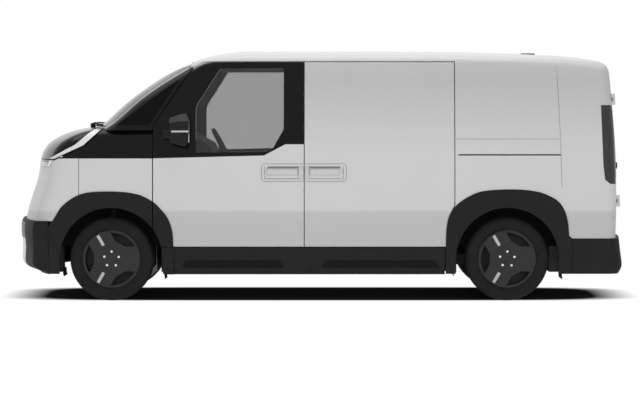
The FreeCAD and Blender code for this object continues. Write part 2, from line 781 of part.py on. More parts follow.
def wheel_liner(axle_x):
    """Arched inner skin of a wheel housing with its inboard wall and its two legs."""
    outer = arch_prism(axle_x, liner_r, house_inner_y, liner_outer_y)
    inner = arch_prism(axle_x, liner_r - liner_thick, house_inner_y + liner_thick, 900)
    arch = block(axle_x - 450, axle_x + 450, 400, 900, liner_wall_z, 900)
    legs = block(axle_x - 450, axle_x + 450, liner_leg_y, 900, liner_low_z, liner_wall_z)
    door_room = rod((door_hinge_x, door_hinge_y, liner_low_z - 10),
                    (door_hinge_x, door_hinge_y, 800), door_swing_room_r)
    return outer.cut(inner).common(arch.fuse(legs)).cut(door_room)


def tyre(axle_x, side):
    """Tyre with rounded shoulders and a shallow groove pair, open at the bore."""
    half = tyre_width / 2
    bead = half - 12
    profile = [(-bead, tyre_bore_r + 14), (-bead - 5, 240), (-half, 272), (-half + 6, 296),
               (-half + 22, 311), (-half + 40, tyre_r), (half - 40, tyre_r), (half - 22, 311),
               (half - 6, 296), (half, 272), (bead + 5, 240), (bead, tyre_bore_r + 14)]
    wire = Part.makePolygon([V(y, 0, r) for y, r in profile + profile[:1]])
    ring = Part.Face(wire)
    ring.rotate(V(0, 0, 0), V(0, 0, 1), 90)
    ring = ring.revolve(V(0, 0, 0), V(0, 1, 0), 360)
    ring.translate(V(axle_x, side * wheel_centre_y, tyre_r))
    return ring


def cover_window(reach):
    """Opening between two spokes, as (radial, tangential) points towards +X."""
    points = []
    for along in (102.0, reach):
        points.append((0.866 * spoke_half + 0.5 * along, -0.5 * spoke_half + 0.866 * along))
    return points + [(x, -z) for x, z in reversed(points)]


def wheel_cover(outer_y):
    """Three broad spokes, the two beside the rear one stepped up outside the bolt field."""
    plate = Part.makeCylinder(cover_r - 3, cover_plate, V(0, outer_y, 0), V(0, 1, 0))
    step_y = outer_y + cover_plate
    pieces = [plate]
    for angle in (60, -60):
        ramp = [(82, step_y - 1), (82, step_y), (106, step_y + cover_step), (240, step_y + cover_step),
                (240, step_y - 1)]
        pad = polygon_xy(ramp, -spoke_half, spoke_half)
        pad = pad.common(Part.makeCylinder(cover_r - 3, 60, V(0, outer_y, 0), V(0, 1, 0)))
        pad.rotate(V(0, 0, 0), V(0, 1, 0), angle)
        pieces.append(pad)
    cover = fused(pieces)
    for angle in (0, 120, 240):
        window = polygon_xz(cover_window(300.0), outer_y - 30, outer_y + 60)
        window.rotate(V(0, 0, 0), V(0, 1, 0), angle)
        cover = cover.cut(window)
    return cover


def wheel(axle_x, side):
    """Rim barrel, hub disc and the three-spoke aero cover."""
    def ring(r_out, r_in, y_low, y_high):
        outer = Part.makeCylinder(r_out, y_high - y_low, V(0, y_low, 0), V(0, 1, 0))
        return outer.cut(Part.makeCylinder(r_in, y_high - y_low + 2, V(0, y_low - 1, 0), V(0, 1, 0)))
    half = rim_width / 2
    barrel = ring(tyre_bore_r + 13.5, tyre_bore_r - 4, -half, half)
    disc_y = hub_face_y + hub_face_gap - wheel_centre_y
    disc = Part.makeCylinder(tyre_bore_r, 14, V(0, disc_y, 0), V(0, 1, 0))
    spine = Part.makeCylinder(70, half - disc_y, V(0, disc_y, 0), V(0, 1, 0))
    whole = fused([barrel, disc, spine, wheel_cover(half - 4)])
    if side < 0:
        whole = mirrored(whole)
    whole.translate(V(axle_x, side * wheel_centre_y, tyre_r))
    return whole


def knuckle():
    """Upright with its hub, kingpin bosses and steering arm."""
    x = front_axle_x
    hub = rod((x, hub_face_y - 46, tyre_r), (x, hub_face_y, tyre_r), hub_r)
    post = block(x - 28, x + 28, strut_y - 22, kingpin_y - 18, arm_top_z + 0.4, tyre_r + 150)
    arm = polygon_xy([(x, kingpin_y - 50), (x, kingpin_y - 10), (x - steer_arm - 16, kingpin_y - 50),
                      (x - steer_arm - 16, kingpin_y - 82)], rack_z - 10, rack_z + 10)
    kingpin = rod((x, kingpin_y, arm_top_z + 0.4), (x, kingpin_y, tyre_r - 60), kingpin_r)
    return fused([hub, post, arm, kingpin])


def steering_rack():
    """Rack with its tie rods, drawn as one bar between the two steering arms."""
    return rod((rack_x, -rack_half, rack_z), (rack_x, rack_half, rack_z), rack_r)


def subframe():
    """Front cradle with its lower arms, rail mounts and the seats of the steering rack."""
    x = front_axle_x
    frame = block(x - 260, x + 240, -360, 360, 150, 200).cut(block(x - 180, x + 150, -280, 280, 140, 210))
    pieces = [frame]
    for side in (1, -1):
        pieces.append(polygon_xy([(x - 190, side * 355), (x + 110, side * 355),
                                  (x + 26, side * (kingpin_y - 4)), (x - 26, side * (kingpin_y - 4))],
                                 160, arm_top_z))
        ys = sorted([side * 285, side * 340])
        pieces.append(block(rack_x - 18, rack_x + 18, ys[0], ys[1], 199, rack_z - rack_r - 0.5))
        ys = sorted([side * 345, side * 440])
        for start in (x - 258, x + 190):
            pieces.append(block(start, start + 48, ys[0], ys[1], 150, rail_low_z - seat_gap))
    return fused(pieces)


def rear_axle():
    """Twist beam with trailing arms and the stub hubs that carry the rear wheels."""
    x = rear_axle_x
    pieces = [block(x + 160, x + 240, -400, 400, 250, 330)]
    for side in (1, -1):
        ys = sorted([side * 380, side * 450])
        pieces.append(block(x - 60, x + 420, ys[0], ys[1], 250, 330))
        pieces.append(rod((x, side * 440, tyre_r), (x, side * hub_face_y, tyre_r), hub_r))
    return fused(pieces)


def floor_pan():
    """Cab floor, riser and load floor on two long rails with their axle brackets."""
    half = 900.0
    cab = block(60, 1129.5, -half, half, cab_floor_z - floor_thick, cab_floor_z)
    riser = block(46, 60, -half, half, cab_floor_z - floor_thick, load_floor_z)
    load = block(-2300, 60, -half, half, load_floor_z - floor_thick, load_floor_z)
    pieces = [cab, riser, load]
    for side in (1, -1):
        ys = sorted([side * 380, side * 450])
        pieces.append(block(-2300, 60, ys[0], ys[1], 470, load_floor_z - floor_thick + 1))
        pieces.append(block(-1060, -1000, ys[0], ys[1], 330.3, 475))
    floor = fused(pieces).common(form(side_form, 94.5)).cut(rear_cut(94.5))
    for side in (1, -1):
        ys = sorted([side * (house_inner_y - 1), side * 1000])
        floor = floor.cut(arch_prism(rear_axle_x, liner_r + seat_gap, ys[0], ys[1]))
    return floor


def firewall():
    """Panel ahead of the cab with the door posts, their hinge straps and the front rails."""
    half = post_plate_y
    pieces = [block(1130, 1144, -half, half, cab_floor_z - floor_thick, 1285)]
    for side in (1, -1):
        ys = sorted([side * (half - 14), side * half])
        pieces.append(block(1130, post_x + 46, ys[0], ys[1], 735, 1285))
        ys = sorted([side * (half - 2), side * 1000])
        post = block(post_x, post_x + 46, ys[0], ys[1], 735, 1068)
        pieces.append(post.common(form(side_form, wing_thick + seat_gap)))
        for level in door_hinge_levels:
            ys = sorted([side * (half - 2), side * hinge_strap_y])
            pieces.append(block(door_hinge_x - 9, post_x + 20, ys[0], ys[1], level - 25, level + 25))
            ys = sorted([side * (half - 2), side * door_hinge_y])
            arm = block(door_hinge_x - 9, door_hinge_x + 8, ys[0], ys[1], level - 25, level + 25)
            boss = rod((door_hinge_x, side * door_hinge_y, level - 25),
                       (door_hinge_x, side * door_hinge_y, level + 25), hinge_boss_r)
            pieces += [arm, boss]
        ys = sorted([side * 395, side * 445])
        pieces.append(block(1140, 2110, ys[0], ys[1], rail_low_z, rail_high_z))
    pieces.append(block(2100, 2150, -560, 560, rail_low_z + 5, rail_high_z - 5))
    made = fused(pieces)
    for side in (1, -1):
        for level in door_hinge_levels:
            made = made.cut(rod((door_hinge_x, side * door_hinge_y, level - 30),
                                (door_hinge_x, side * door_hinge_y, level + 30), hinge_pin_r + hinge_fit))
    return made


def battery_pack():
    box = block(-950, 950, -600, 600, battery_low_z, battery_high_z)
    return box.makeChamfer(18, [e for e in box.Edges if middle(e).z < battery_low_z + 1])


def drive_unit():
    return block(rack_x + 26, 1800, -280, 280, 200.3, 700)


def bulkhead():
    plate = block(bulkhead_x - bulkhead_thick, bulkhead_x, -900, 900, load_floor_z, 1900)
    return plate.common(form(cabin_form, 94.5))


def dashboard():
    outline = [(1129.7, 700), (1129.7, 1270), (1050, 1285), (860, 1180), (800, 1060), (860, 900), (980, 700)]
    body = polygon_xz(outline, -790, 790)
    return body.fuse(rod((766.93, 400, 1115.68), (900, 400, 1045), 26))


def seats():
    """Driver's and passenger's seats on their plinths."""
    made = []
    for side in (1, -1):
        base = block(300, 760, side * 400 - 200, side * 400 + 200, cab_floor_z, 620)
        cushion = block(280, 800, side * 400 - 240, side * 400 + 240, 620, 760)
        back = polygon_xz([(330, 760), (200, 1400), (120, 1400), (200, 700), (280, 700), (280, 760)],
                          side * 400 - 230, side * 400 + 230)
        made.append(fused([base, cushion, back]))
    return Part.makeCompound(made)


def steering_wheel():
    ring = Part.makeTorus(180, 15)
    hub = Part.makeCylinder(50, 40, V(0, 0, -30))
    spokes = [block(-180, 180, -16, 16, -12, 4), block(-16, 16, -180, 0, -12, 4)]
    whole = fused([ring, hub] + spokes)
    whole.rotate(V(0, 0, 0), V(0, 1, 0), -62)
    whole.translate(V(740, 400, 1130))
    return whole


def mirror_housing():
    """Door mirror on its arm."""
    outline = [(1125, 1378), (1032, 1415), (1001, 1415), (980, 1365), (980, 1269), (997, 1183),
               (1018, 1171), (1127, 1202)]
    head = polygon_xz(outline, 962, 1085)
    head = head.makeFillet(14, head.Edges)
    foot = block(1130 - 40, 1130 + 50, side_y(1230) + seat_gap, 985, 1230, 1300)
    return head.fuse(foot)


def suspension_struts():
    """Front struts over the knuckles and rear springs under the rails."""
    front = rod((front_axle_x, strut_y, tyre_r + 150.4), (front_axle_x, strut_y, tyre_r + liner_r - 5), 22)
    rear = rod((rear_axle_x + 150, 415, 330.3), (rear_axle_x + 150, 415, 469.7), 34)
    return Part.makeCompound([on_both_sides(front), on_both_sides(rear)])


def add(name, shape):
    parts[name] = shape


parts = {}


def build():
    panel, frame, pane = front_door()
    front = arch_cladding(front_arch_outline, front_axle_x)
    door_side = block(900, door_front_x, 250, 1100, sill_top_z + 3, 1300)
    door_space = block(900, door_front_x + door_front_gap, 250, 1100, sill_top_z - 3, 1300)
    sides = {
        "door_cladding": front.common(door_side), "door_panel": panel, "door_frame": frame, "door_glass": pane,
        "mirror": mirror_housing(), "sliding_door": sliding_door(), "body_side": body_side(),
        "rear_door": rear_door(), "knuckle": knuckle(),
    }
    for name, shape in sides.items():
        add(name + "_left", shape)
        add(name + "_right", mirrored(shape))
    for name, shape in {
        "quarter_windows": quarter_window(), "tail_lamps": tail_lamp(), "wing_tops": wing_top(),
        "front_wings": front_wing(), "headlamps": headlamp(),
        "sills": sill(),
        "arch_claddings": Part.makeCompound([front.cut(door_space), arch_cladding(rear_arch_outline, rear_axle_x)]),
        "wheel_liners": Part.makeCompound([wheel_liner(front_axle_x), wheel_liner(rear_axle_x)]),
    }.items():
        add(name, on_both_sides(shape))
    for place, axle_x in (("front", front_axle_x), ("rear", rear_axle_x)):
        for hand, side in (("left", 1), ("right", -1)):
            add("tyre_%s_%s" % (place, hand), tyre(axle_x, side))
            add("wheel_%s_%s" % (place, hand), wheel(axle_x, side))
    for make in (roof_panel, windscreen, bonnet, cowl, nose_panel, front_bumper, bumper_insert,
                 skid_plate, rear_bumper, steering_rack, subframe, rear_axle, floor_pan, firewall,
                 battery_pack, drive_unit, bulkhead, dashboard, seats, steering_wheel,
                 suspension_struts):
        add(make.__name__, make())


build()
os.makedirs("parts", exist_ok=True)
for name, shape in parts.items():
    shape.exportStep("parts/%s.step" % name)
    print(name, shape.isValid(), len(shape.Solids), round(shape.Volume / 1e6, 2))
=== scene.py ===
import bpy
import bmesh
import json
import math
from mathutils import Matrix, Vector


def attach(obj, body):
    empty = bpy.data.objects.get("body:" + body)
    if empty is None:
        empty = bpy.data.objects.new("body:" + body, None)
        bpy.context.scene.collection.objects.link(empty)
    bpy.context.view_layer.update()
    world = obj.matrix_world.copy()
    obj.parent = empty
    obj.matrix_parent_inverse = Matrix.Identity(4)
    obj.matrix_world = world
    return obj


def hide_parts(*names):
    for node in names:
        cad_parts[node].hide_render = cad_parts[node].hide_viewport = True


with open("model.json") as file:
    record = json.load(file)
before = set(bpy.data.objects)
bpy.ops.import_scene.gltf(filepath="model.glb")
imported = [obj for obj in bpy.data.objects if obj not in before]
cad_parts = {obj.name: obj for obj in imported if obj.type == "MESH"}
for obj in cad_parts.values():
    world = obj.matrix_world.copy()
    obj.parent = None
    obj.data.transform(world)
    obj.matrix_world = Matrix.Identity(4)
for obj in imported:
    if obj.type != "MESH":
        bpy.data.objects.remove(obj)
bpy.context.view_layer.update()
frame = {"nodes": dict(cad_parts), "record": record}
nodes = frame["nodes"]
scene = bpy.context.scene
print("frame loaded", len(nodes), "nodes")

# small tools for colours and shader nodes

whiteLight = (1.0, 1.0, 1.0, 1.0)


def grey(level):  # an 8-bit screen grey as the renderer's linear colour
    part = level / 255.0
    linear = part / 12.92 if part <= 0.04045 else ((part + 0.055) / 1.055) ** 2.4
    return (linear, linear, linear, 1.0)


def tint(red, green, blue):
    return (grey(red)[0], grey(green)[0], grey(blue)[0], 1.0)


def feed(tree, socket, value):  # links another node's output, or sets a plain value
    if isinstance(value, bpy.types.NodeSocket):
        tree.links.new(value, socket)
    else:
        socket.default_value = value


def mathNode(tree, operation, *values):
    node = tree.nodes.new("ShaderNodeMath")
    node.operation = operation
    for index, value in enumerate(values):
        feed(tree, node.inputs[index], value)
    return node.outputs[0]


def spreadNode(tree, value, fromLow, fromHigh, toLow, toHigh):
    node = tree.nodes.new("ShaderNodeMapRange")
    for index, item in enumerate((value, fromLow, fromHigh, toLow, toHigh)):
        feed(tree, node.inputs[index], item)
    return node.outputs[0]


def noiseNode(tree, place, size, detail, rough=0.5):
    node = tree.nodes.new("ShaderNodeTexNoise")
    for label, value in (("Vector", place), ("Scale", size), ("Detail", detail),
                         ("Roughness", rough)):
        feed(tree, node.inputs[label], value)
    return node.outputs["Fac"]


def mixNode(tree, factor, first, second, blend="MIX"):
    node = tree.nodes.new("ShaderNodeMix")
    node.data_type = "RGBA"
    node.blend_type = blend
    for label, value in (("Factor", factor), ("A", first), ("B", second)):
        feed(tree, node.inputs[label], value)
    return node.outputs["Result"]


def splitNode(tree, place):
    node = tree.nodes.new("ShaderNodeSeparateXYZ")
    feed(tree, node.inputs[0], place)
    return node.outputs


def objectPlace(tree):
    return tree.nodes.new("ShaderNodeTexCoord").outputs["Object"]


def newGroup(name, inputs, outputs):  # each socket's label and kind
    group = bpy.data.node_groups.new(name, "ShaderNodeTree")
    for way, sockets in (("INPUT", inputs), ("OUTPUT", outputs)):
        for label, kind in sockets.items():
            group.interface.new_socket(name=label, in_out=way, socket_type="NodeSocket" + kind)
    return (group, group.nodes.new("NodeGroupInput").outputs,
            group.nodes.new("NodeGroupOutput").inputs)


# two groups that the finishes share

grainMix = {"speckHeight": 0.4, "speckTone": 0.35, "cloudTone": 0.65, "toneBand": (0.3, 0.7),
            "glossBand": (0.35, 0.65)}


def grainGroup():  # moulded or sprayed surface: grain height, cloudy tone, uneven gloss
    group, given, result = newGroup(
        "mouldedGrain",
        {"Place": "Vector", "Colour": "Color", "Grain Size": "Float", "Cloud Size": "Float",
         "Tone Spread": "Float", "Gloss Low": "Float", "Gloss High": "Float"},
        {"Colour": "Color", "Roughness": "Float", "Height": "Float"})
    place, spread = given["Place"], given["Tone Spread"]
    pebble = group.nodes.new("ShaderNodeTexVoronoi")
    feed(group, pebble.inputs["Vector"], place)
    feed(group, pebble.inputs["Scale"], given["Grain Size"])
    speck = noiseNode(group, place, given["Grain Size"], 2.0)
    cloud = noiseNode(group, place, given["Cloud Size"], 4.0, 0.6)
    both = mathNode(group, "MULTIPLY_ADD", speck, grainMix["speckTone"],
                    mathNode(group, "MULTIPLY", cloud, grainMix["cloudTone"]))
    tone = spreadNode(group, both, *grainMix["toneBand"],
                      mathNode(group, "SUBTRACT", 1.0, spread),
                      mathNode(group, "ADD", 1.0, spread))
    scale = group.nodes.new("ShaderNodeVectorMath")
    scale.operation = "SCALE"
    feed(group, scale.inputs[0], given["Colour"])
    feed(group, scale.inputs["Scale"], tone)
    feed(group, result["Colour"], scale.outputs[0])
    feed(group, result["Roughness"], spreadNode(
        group, cloud, *grainMix["glossBand"], given["Gloss Low"], given["Gloss High"]))
    feed(group, result["Height"], mathNode(
        group, "MULTIPLY_ADD", speck, grainMix["speckHeight"], pebble.outputs["Distance"]))
    return group


dustFilm = {"colour": tint(150, 146, 140), "foot": 0.1, "patchSize": 9.0, "patchBand": (0.35, 0.7),
            "speckleSize": 240.0, "speckleBand": (0.35, 0.65), "speckleLow": 0.4,
            "roughening": 0.5}


def dustGroup():  # a thin, broken film of road dust that fades out upwards
    group, given, result = newGroup(
        "roadDust",
        {"Place": "Vector", "Colour": "Color", "Roughness": "Float", "Top": "Float",
         "Amount": "Float"},
        {"Colour": "Color", "Roughness": "Float"})
    place = given["Place"]
    fade = spreadNode(group, splitNode(group, place)["Z"], dustFilm["foot"], given["Top"],
                      1.0, 0.0)
    patch = noiseNode(group, place, dustFilm["patchSize"], 5.0, 0.65)
    speckle = noiseNode(group, place, dustFilm["speckleSize"], 2.0)
    broken = mathNode(
        group, "MULTIPLY", spreadNode(group, patch, *dustFilm["patchBand"], 0.0, 1.0),
        spreadNode(group, speckle, *dustFilm["speckleBand"], dustFilm["speckleLow"], 1.0))
    mask = mathNode(group, "MULTIPLY", mathNode(group, "MULTIPLY", fade, broken),
                    given["Amount"])
    feed(group, result["Colour"], mixNode(group, mask, given["Colour"], dustFilm["colour"]))
    feed(group, result["Roughness"], mathNode(
        group, "ADD", given["Roughness"],
        mathNode(group, "MULTIPLY", mask, dustFilm["roughening"])))
    return group


groups = {"grain": grainGroup(), "dust": dustGroup()}


def placedGroup(tree, key, inputs):
    node = tree.nodes.new("ShaderNodeGroup")
    node.node_tree = groups[key]
    for label, value in inputs.items():
        feed(tree, node.inputs[label], value)
    return node.outputs


def newMaterial(name):  # with its tree and its shader's sockets
    material = bpy.data.materials.new(name)
    material.use_nodes = True
    tree = material.node_tree
    return material, tree, tree.nodes["Principled BSDF"].inputs


def grainedMaterial(name, colour, gloss, grain, height, cloud, spread, metallic=0.0, coat=0.0,
                    coatRoughness=0.05, dust=0.0, dustTop=0.7, specular=0.5, sheen=0.0):
    material, tree, surface = newMaterial(name)
    place = objectPlace(tree)
    body = placedGroup(tree, "grain", {
        "Place": place, "Colour": colour, "Grain Size": grain, "Cloud Size": cloud,
        "Tone Spread": spread, "Gloss Low": gloss[0], "Gloss High": gloss[1]})
    finish = body
    if dust > 0.0:
        finish = placedGroup(tree, "dust", {
            "Place": place, "Colour": body["Colour"], "Roughness": body["Roughness"],
            "Top": dustTop, "Amount": dust})
    bump = tree.nodes.new("ShaderNodeBump")
    for label, value in (("Strength", 1.0), ("Distance", height), ("Height", body["Height"])):
        feed(tree, bump.inputs[label], value)
    for label, value in (
            ("Base Color", finish["Colour"]), ("Roughness", finish["Roughness"]),
            ("Normal", bump.outputs["Normal"]), ("Metallic", metallic), ("Coat Weight", coat),
            ("Coat Roughness", coatRoughness), ("Specular IOR Level", specular),
            ("Sheen Weight", sheen)):
        feed(tree, surface[label], value)
    return material


glassLook = {"gloss": 0.0, "grain": 90.0, "cloud": 2.0, "spread": 0.02}


def glassMaterial(name, colour, clear, bend):
    material, tree, surface = newMaterial(name)
    body = placedGroup(tree, "grain", {
        "Place": objectPlace(tree), "Colour": colour, "Grain Size": glassLook["grain"],
        "Cloud Size": glassLook["cloud"], "Tone Spread": glassLook["spread"],
        "Gloss Low": glassLook["gloss"], "Gloss High": glassLook["gloss"]})
    for label, value in (("Base Color", body["Colour"]), ("Roughness", glassLook["gloss"]),
                         ("Transmission Weight", clear), ("IOR", bend)):
        feed(tree, surface[label], value)
    return material


# one row for each finish: material, colour, roughness from and to, grain size, grain height,
# cloud size, tone spread, and what differs from a plain shader

lacquer = {"coat": 0.15, "coatRoughness": 0.12, "specular": 0.12}
finishTable = {
    "paint": ("whitePaint", grey(222), (0.4, 0.46), 900.0, 0.00002, 1.2, 0.012,
              {"dust": 0.06, "dustTop": 0.62, **lacquer}),
    "glossBlack": ("glossBlack", grey(12), (0.1, 0.17), 700.0, 0.00002, 1.6, 0.1,
                   {"coat": 0.04, "coatRoughness": 0.04, "specular": 0.12}),
    "cladding": ("grainedCladding", grey(34), (0.55, 0.68), 420.0, 0.0004, 4.0, 0.16,
                 {"dust": 0.05, "dustTop": 0.55, "specular": 0.12}),
    # lighter than the cladding as painted front light; the part itself is the same dark plastic
    "insert": ("satinInsert", grey(82), (0.42, 0.5), 600.0, 0.0002, 5.0, 0.08, {"dust": 0.1}),
    "skid": ("skidSilver", grey(205), (0.34, 0.44), 800.0, 0.0001, 4.0, 0.05,
             {"metallic": 0.25, "coat": 0.2, "dust": 0.1}),
    "tyre": ("tyreRubber", grey(26), (0.7, 0.82), 260.0, 0.0005, 7.0, 0.14,
             {"dust": 0.03, "dustTop": 0.9, "specular": 0.2}),
    "cover": ("coverSatin", grey(46), (0.45, 0.55), 700.0, 0.00015, 6.0, 0.1,
              {"dust": 0.03, "dustTop": 0.9, "specular": 0.2}),
    "liner": ("linerFelt", grey(26), (0.85, 0.95), 300.0, 0.001, 8.0, 0.25, {"dust": 0.1}),
    "mirrorShell": ("mirrorShell", grey(24), (0.22, 0.3), 700.0, 0.00005, 5.0, 0.07,
                    {"coat": 0.05, "specular": 0.15}),
    # a lighter grey than the shell: painted light on the mirror's top
    "mirrorCap": ("mirrorCap", grey(66), (0.25, 0.32), 700.0, 0.00005, 5.0, 0.07,
                  {"coat": 0.05, "specular": 0.2}),
    "mirrorGlass": ("mirrorGlass", grey(225), (0.02, 0.04), 40.0, 0.0, 2.0, 0.01,
                    {"metallic": 1.0}),
    "seal": ("sealRubber", grey(20), (0.7, 0.85), 500.0, 0.0003, 9.0, 0.15,
             {"specular": 0.15}),
    "lampRed": ("lampRed", tint(120, 14, 18), (0.1, 0.16), 260.0, 0.0002, 12.0, 0.12,
                {"coat": 0.8}),
    "lampClear": ("lampClear", grey(165), (0.1, 0.16), 260.0, 0.0002, 12.0, 0.06,
                  {"coat": 0.2}),
    "handle": ("handlePaint", grey(214), (0.4, 0.46), 900.0, 0.00002, 3.0, 0.02, lacquer),
    # a flat grey for painted shade in the handle bowls and for the rear side panel's dark joint
    # lines
    "shade": ("shadedPaint", grey(134), (0.5, 0.6), 900.0, 0.00002, 3.0, 0.03,
              {"specular": 0.1}),
    "tailRed": ("tailLens", tint(60, 57, 57), (0.16, 0.22), 220.0, 0.00005, 5.0, 0.08,
                {"coat": 0.1, "specular": 0.15}),
    "lamp": ("lampLens", grey(36), (0.12, 0.18), 220.0, 0.00005, 5.0, 0.12,
             {"coat": 0.1, "coatRoughness": 0.04, "specular": 0.2}),
    "cast": ("castIron", grey(70), (0.5, 0.66), 320.0, 0.0006, 9.0, 0.2,
             {"metallic": 0.6, "dust": 0.15, "dustTop": 0.6}),
    "underSteel": ("underbodySteel", grey(48), (0.5, 0.66), 260.0, 0.0004, 6.0, 0.18,
                   {"metallic": 0.4, "dust": 0.2, "dustTop": 0.6}),
    "floorSteel": ("floorCoating", grey(96), (0.55, 0.7), 220.0, 0.0005, 5.0, 0.14,
                   {"metallic": 0.2}),
    "aluminium": ("castAluminium", grey(150), (0.4, 0.52), 500.0, 0.0002, 6.0, 0.1,
                  {"metallic": 0.85, "dust": 0.2, "dustTop": 0.5}),
    "cabin": ("cabinPlastic", grey(52), (0.6, 0.72), 520.0, 0.0004, 5.0, 0.12, {}),
    "bright": ("brightZinc", grey(228), (0.22, 0.3), 500.0, 0.00005, 20.0, 0.05,
               {"metallic": 0.6, "coat": 0.2}),
    # pale trim for the wheel strips and the windscreen's edges; on the mirrors, a painted
    # highlight
    "trim": ("paleTrim", grey(196), (0.32, 0.4), 700.0, 0.00004, 9.0, 0.03,
             {"coat": 0.2, "specular": 0.3}),
    "stripe": ("stripeWhite", grey(236), (0.3, 0.36), 900.0, 0.00002, 2.0, 0.01,
               {"coat": 0.5, "specular": 0.3}),
    "seat": ("seatWeave", grey(58), (0.85, 0.95), 900.0, 0.0008, 7.0, 0.2, {"sheen": 0.3}),
}
finishes = {key: grainedMaterial(*row[:-1], **row[-1]) for key, row in finishTable.items()}
finishes["glass"] = glassMaterial("tintedGlass", grey(199), clear=0.95, bend=1.1)
finishes["screen"] = glassMaterial("screenGlass", grey(30), clear=0.5, bend=1.12)
sameAsPaint = finishTable["paint"]
finishes["sidePaint"] = grainedMaterial("sidePaint", *sameAsPaint[1:-1], **sameAsPaint[-1])

# painted shade: factors that darken the body paint's colour by height
sideShadeBands = {"span": 2.0, "bands": [(0.30, 0.81), (0.668, 0.83), (0.690, 0.98), (1.10, 0.985),
                                    (1.29, 0.94), (1.519, 0.855), (1.67, 0.81), (1.80, 0.84),
                                    (1.845, 0.99)]}
blackPillar = {"fromX": 0.965, "fromZ": 1.07, "colour": grey(12), "coat": (0.15, 0.04)}


def paintSideShade(material):  # painted shade along the paint's height, as a broken line of factors: darker below the crease and towards the roof, near full at the crease and at the roof's edge
    tree = material.node_tree
    base = tree.nodes["Principled BSDF"].inputs["Base Color"]
    height = splitNode(tree, objectPlace(tree))["Z"]
    ramp = tree.nodes.new("ShaderNodeValToRGB")
    feed(tree, ramp.inputs["Fac"], mathNode(tree, "DIVIDE", height, sideShadeBands["span"]))
    while len(ramp.color_ramp.elements) < len(sideShadeBands["bands"]):
        ramp.color_ramp.elements.new(0.5)
    for element, (level, factor) in zip(ramp.color_ramp.elements, sideShadeBands["bands"]):
        element.position = level / sideShadeBands["span"]
        element.color = (factor, factor, factor, 1.0)
    feed(tree, base, mixNode(tree, 1.0, base.links[0].from_socket, ramp.outputs["Color"],
                             "MULTIPLY"))


def darkenPillar(material):  # black finish ahead of one line and above another
    tree = material.node_tree
    surface = tree.nodes["Principled BSDF"].inputs
    place = splitNode(tree, objectPlace(tree))
    ahead = mathNode(tree, "GREATER_THAN", place["X"], blackPillar["fromX"])
    above = mathNode(tree, "GREATER_THAN", place["Z"], blackPillar["fromZ"])
    mask = mathNode(tree, "MULTIPLY", ahead, above)
    painted = surface["Base Color"].links[0].from_socket
    feed(tree, surface["Base Color"], mixNode(tree, mask, painted, blackPillar["colour"]))
    feed(tree, surface["Coat Weight"], spreadNode(tree, mask, 0.0, 1.0, *blackPillar["coat"]))


paintSideShade(finishes["paint"])
paintSideShade(finishes["sidePaint"])
darkenPillar(finishes["sidePaint"])
print("finishes built", len(finishes))

# the frame's own nodes: a finish for each slot, and for a few nodes another one

slotFinish = {
    "tyre": "tyre", "liner": "liner", "wheel_cover": "cover", "glass": "glass",
    "black_gloss": "glossBlack", "mirror_shell": "mirrorShell", "body_paint": "paint",
    "tail_lamp": "tailRed", "headlamp": "lamp", "cladding": "cladding", "insert": "insert",
    "skid": "skid", "cast": "cast", "underbody_steel": "underSteel",
    "floor_steel": "floorSteel", "aluminium_case": "aluminium", "cabin_plastic": "cabin",
    "seat_fabric": "seat",
}
ownFinish = {"windscreen": "screen", "quarter_windows": "screen", "body_side_left": "sidePaint",
             "body_side_right": "sidePaint", "suspension_struts": "liner"}
for entry in frame["record"]["subparts"]:
    dressed = nodes[entry["node"]].data
    dressed.materials.clear()
    finish = ownFinish.get(entry["node"], slotFinish[entry["material_slot"]])
    dressed.materials.append(finishes[finish])
print("frame nodes dressed")

# camera, lights and floor

view = {"place": (0.0, 19.4, 1.41), "tiltDown": 2.0, "lens": 137.8, "sensor": 36.0,
        "farthest": 200.0}


def addCamera():
    data = bpy.data.cameras.new("sideCamera")
    data.lens = view["lens"]
    data.sensor_width = view["sensor"]
    data.clip_end = view["farthest"]
    camera = bpy.data.objects.new("sideCamera", data)
    camera.location = view["place"]
    camera.rotation_euler = (math.radians(90.0 - view["tiltDown"]), 0.0, math.radians(180.0))
    scene.collection.objects.link(camera)
    scene.camera = camera


def seesWhite(tree):  # 1 for the eye, for gloss and through glass, 0 for the light on surfaces
    path = tree.nodes.new("ShaderNodeLightPath")
    eye = mathNode(tree, "MAXIMUM", path.outputs["Is Camera Ray"], path.outputs["Is Glossy Ray"])
    return mathNode(tree, "MAXIMUM", eye, path.outputs["Is Transmission Ray"])


air = {"lighting": 0.21, "shown": 1.0}


def addAir():
    world = bpy.data.worlds.new("studioAir")
    world.use_nodes = True
    scene.world = world
    tree = world.node_tree
    tree.nodes.clear()
    mix = tree.nodes.new("ShaderNodeMixShader")
    feed(tree, mix.inputs["Fac"], seesWhite(tree))
    for index, strength in ((1, air["lighting"]), (2, air["shown"])):
        sky = tree.nodes.new("ShaderNodeBackground")
        feed(tree, sky.inputs["Color"], whiteLight)
        feed(tree, sky.inputs["Strength"], strength)
        feed(tree, mix.inputs[index], sky.outputs[0])
    feed(tree, tree.nodes.new("ShaderNodeOutputWorld").inputs["Surface"], mix.outputs[0])


softBoxes = {  # place, turn in degrees, size, power, and whether gloss mirrors it
    "overhead": ((0.0, -0.2, 5.2), (0.0, 0.0, 0.0), (8.0, 2.4), 165.0, True),
    "nearSide": ((0.0, 10.0, 2.0), (-90.0, 0.0, 0.0), (16.0, 3.6), 555.0, False),
    "farSide": ((0.0, -10.0, 2.0), (90.0, 0.0, 0.0), (16.0, 3.6), 555.0, False),
    "noseEnd": ((10.0, 0.0, 1.6), (0.0, 90.0, 0.0), (2.6, 5.0), 70.0, False),
    "tailEnd": ((-10.0, 0.0, 1.6), (0.0, -90.0, 0.0), (2.6, 5.0), 70.0, False),
}


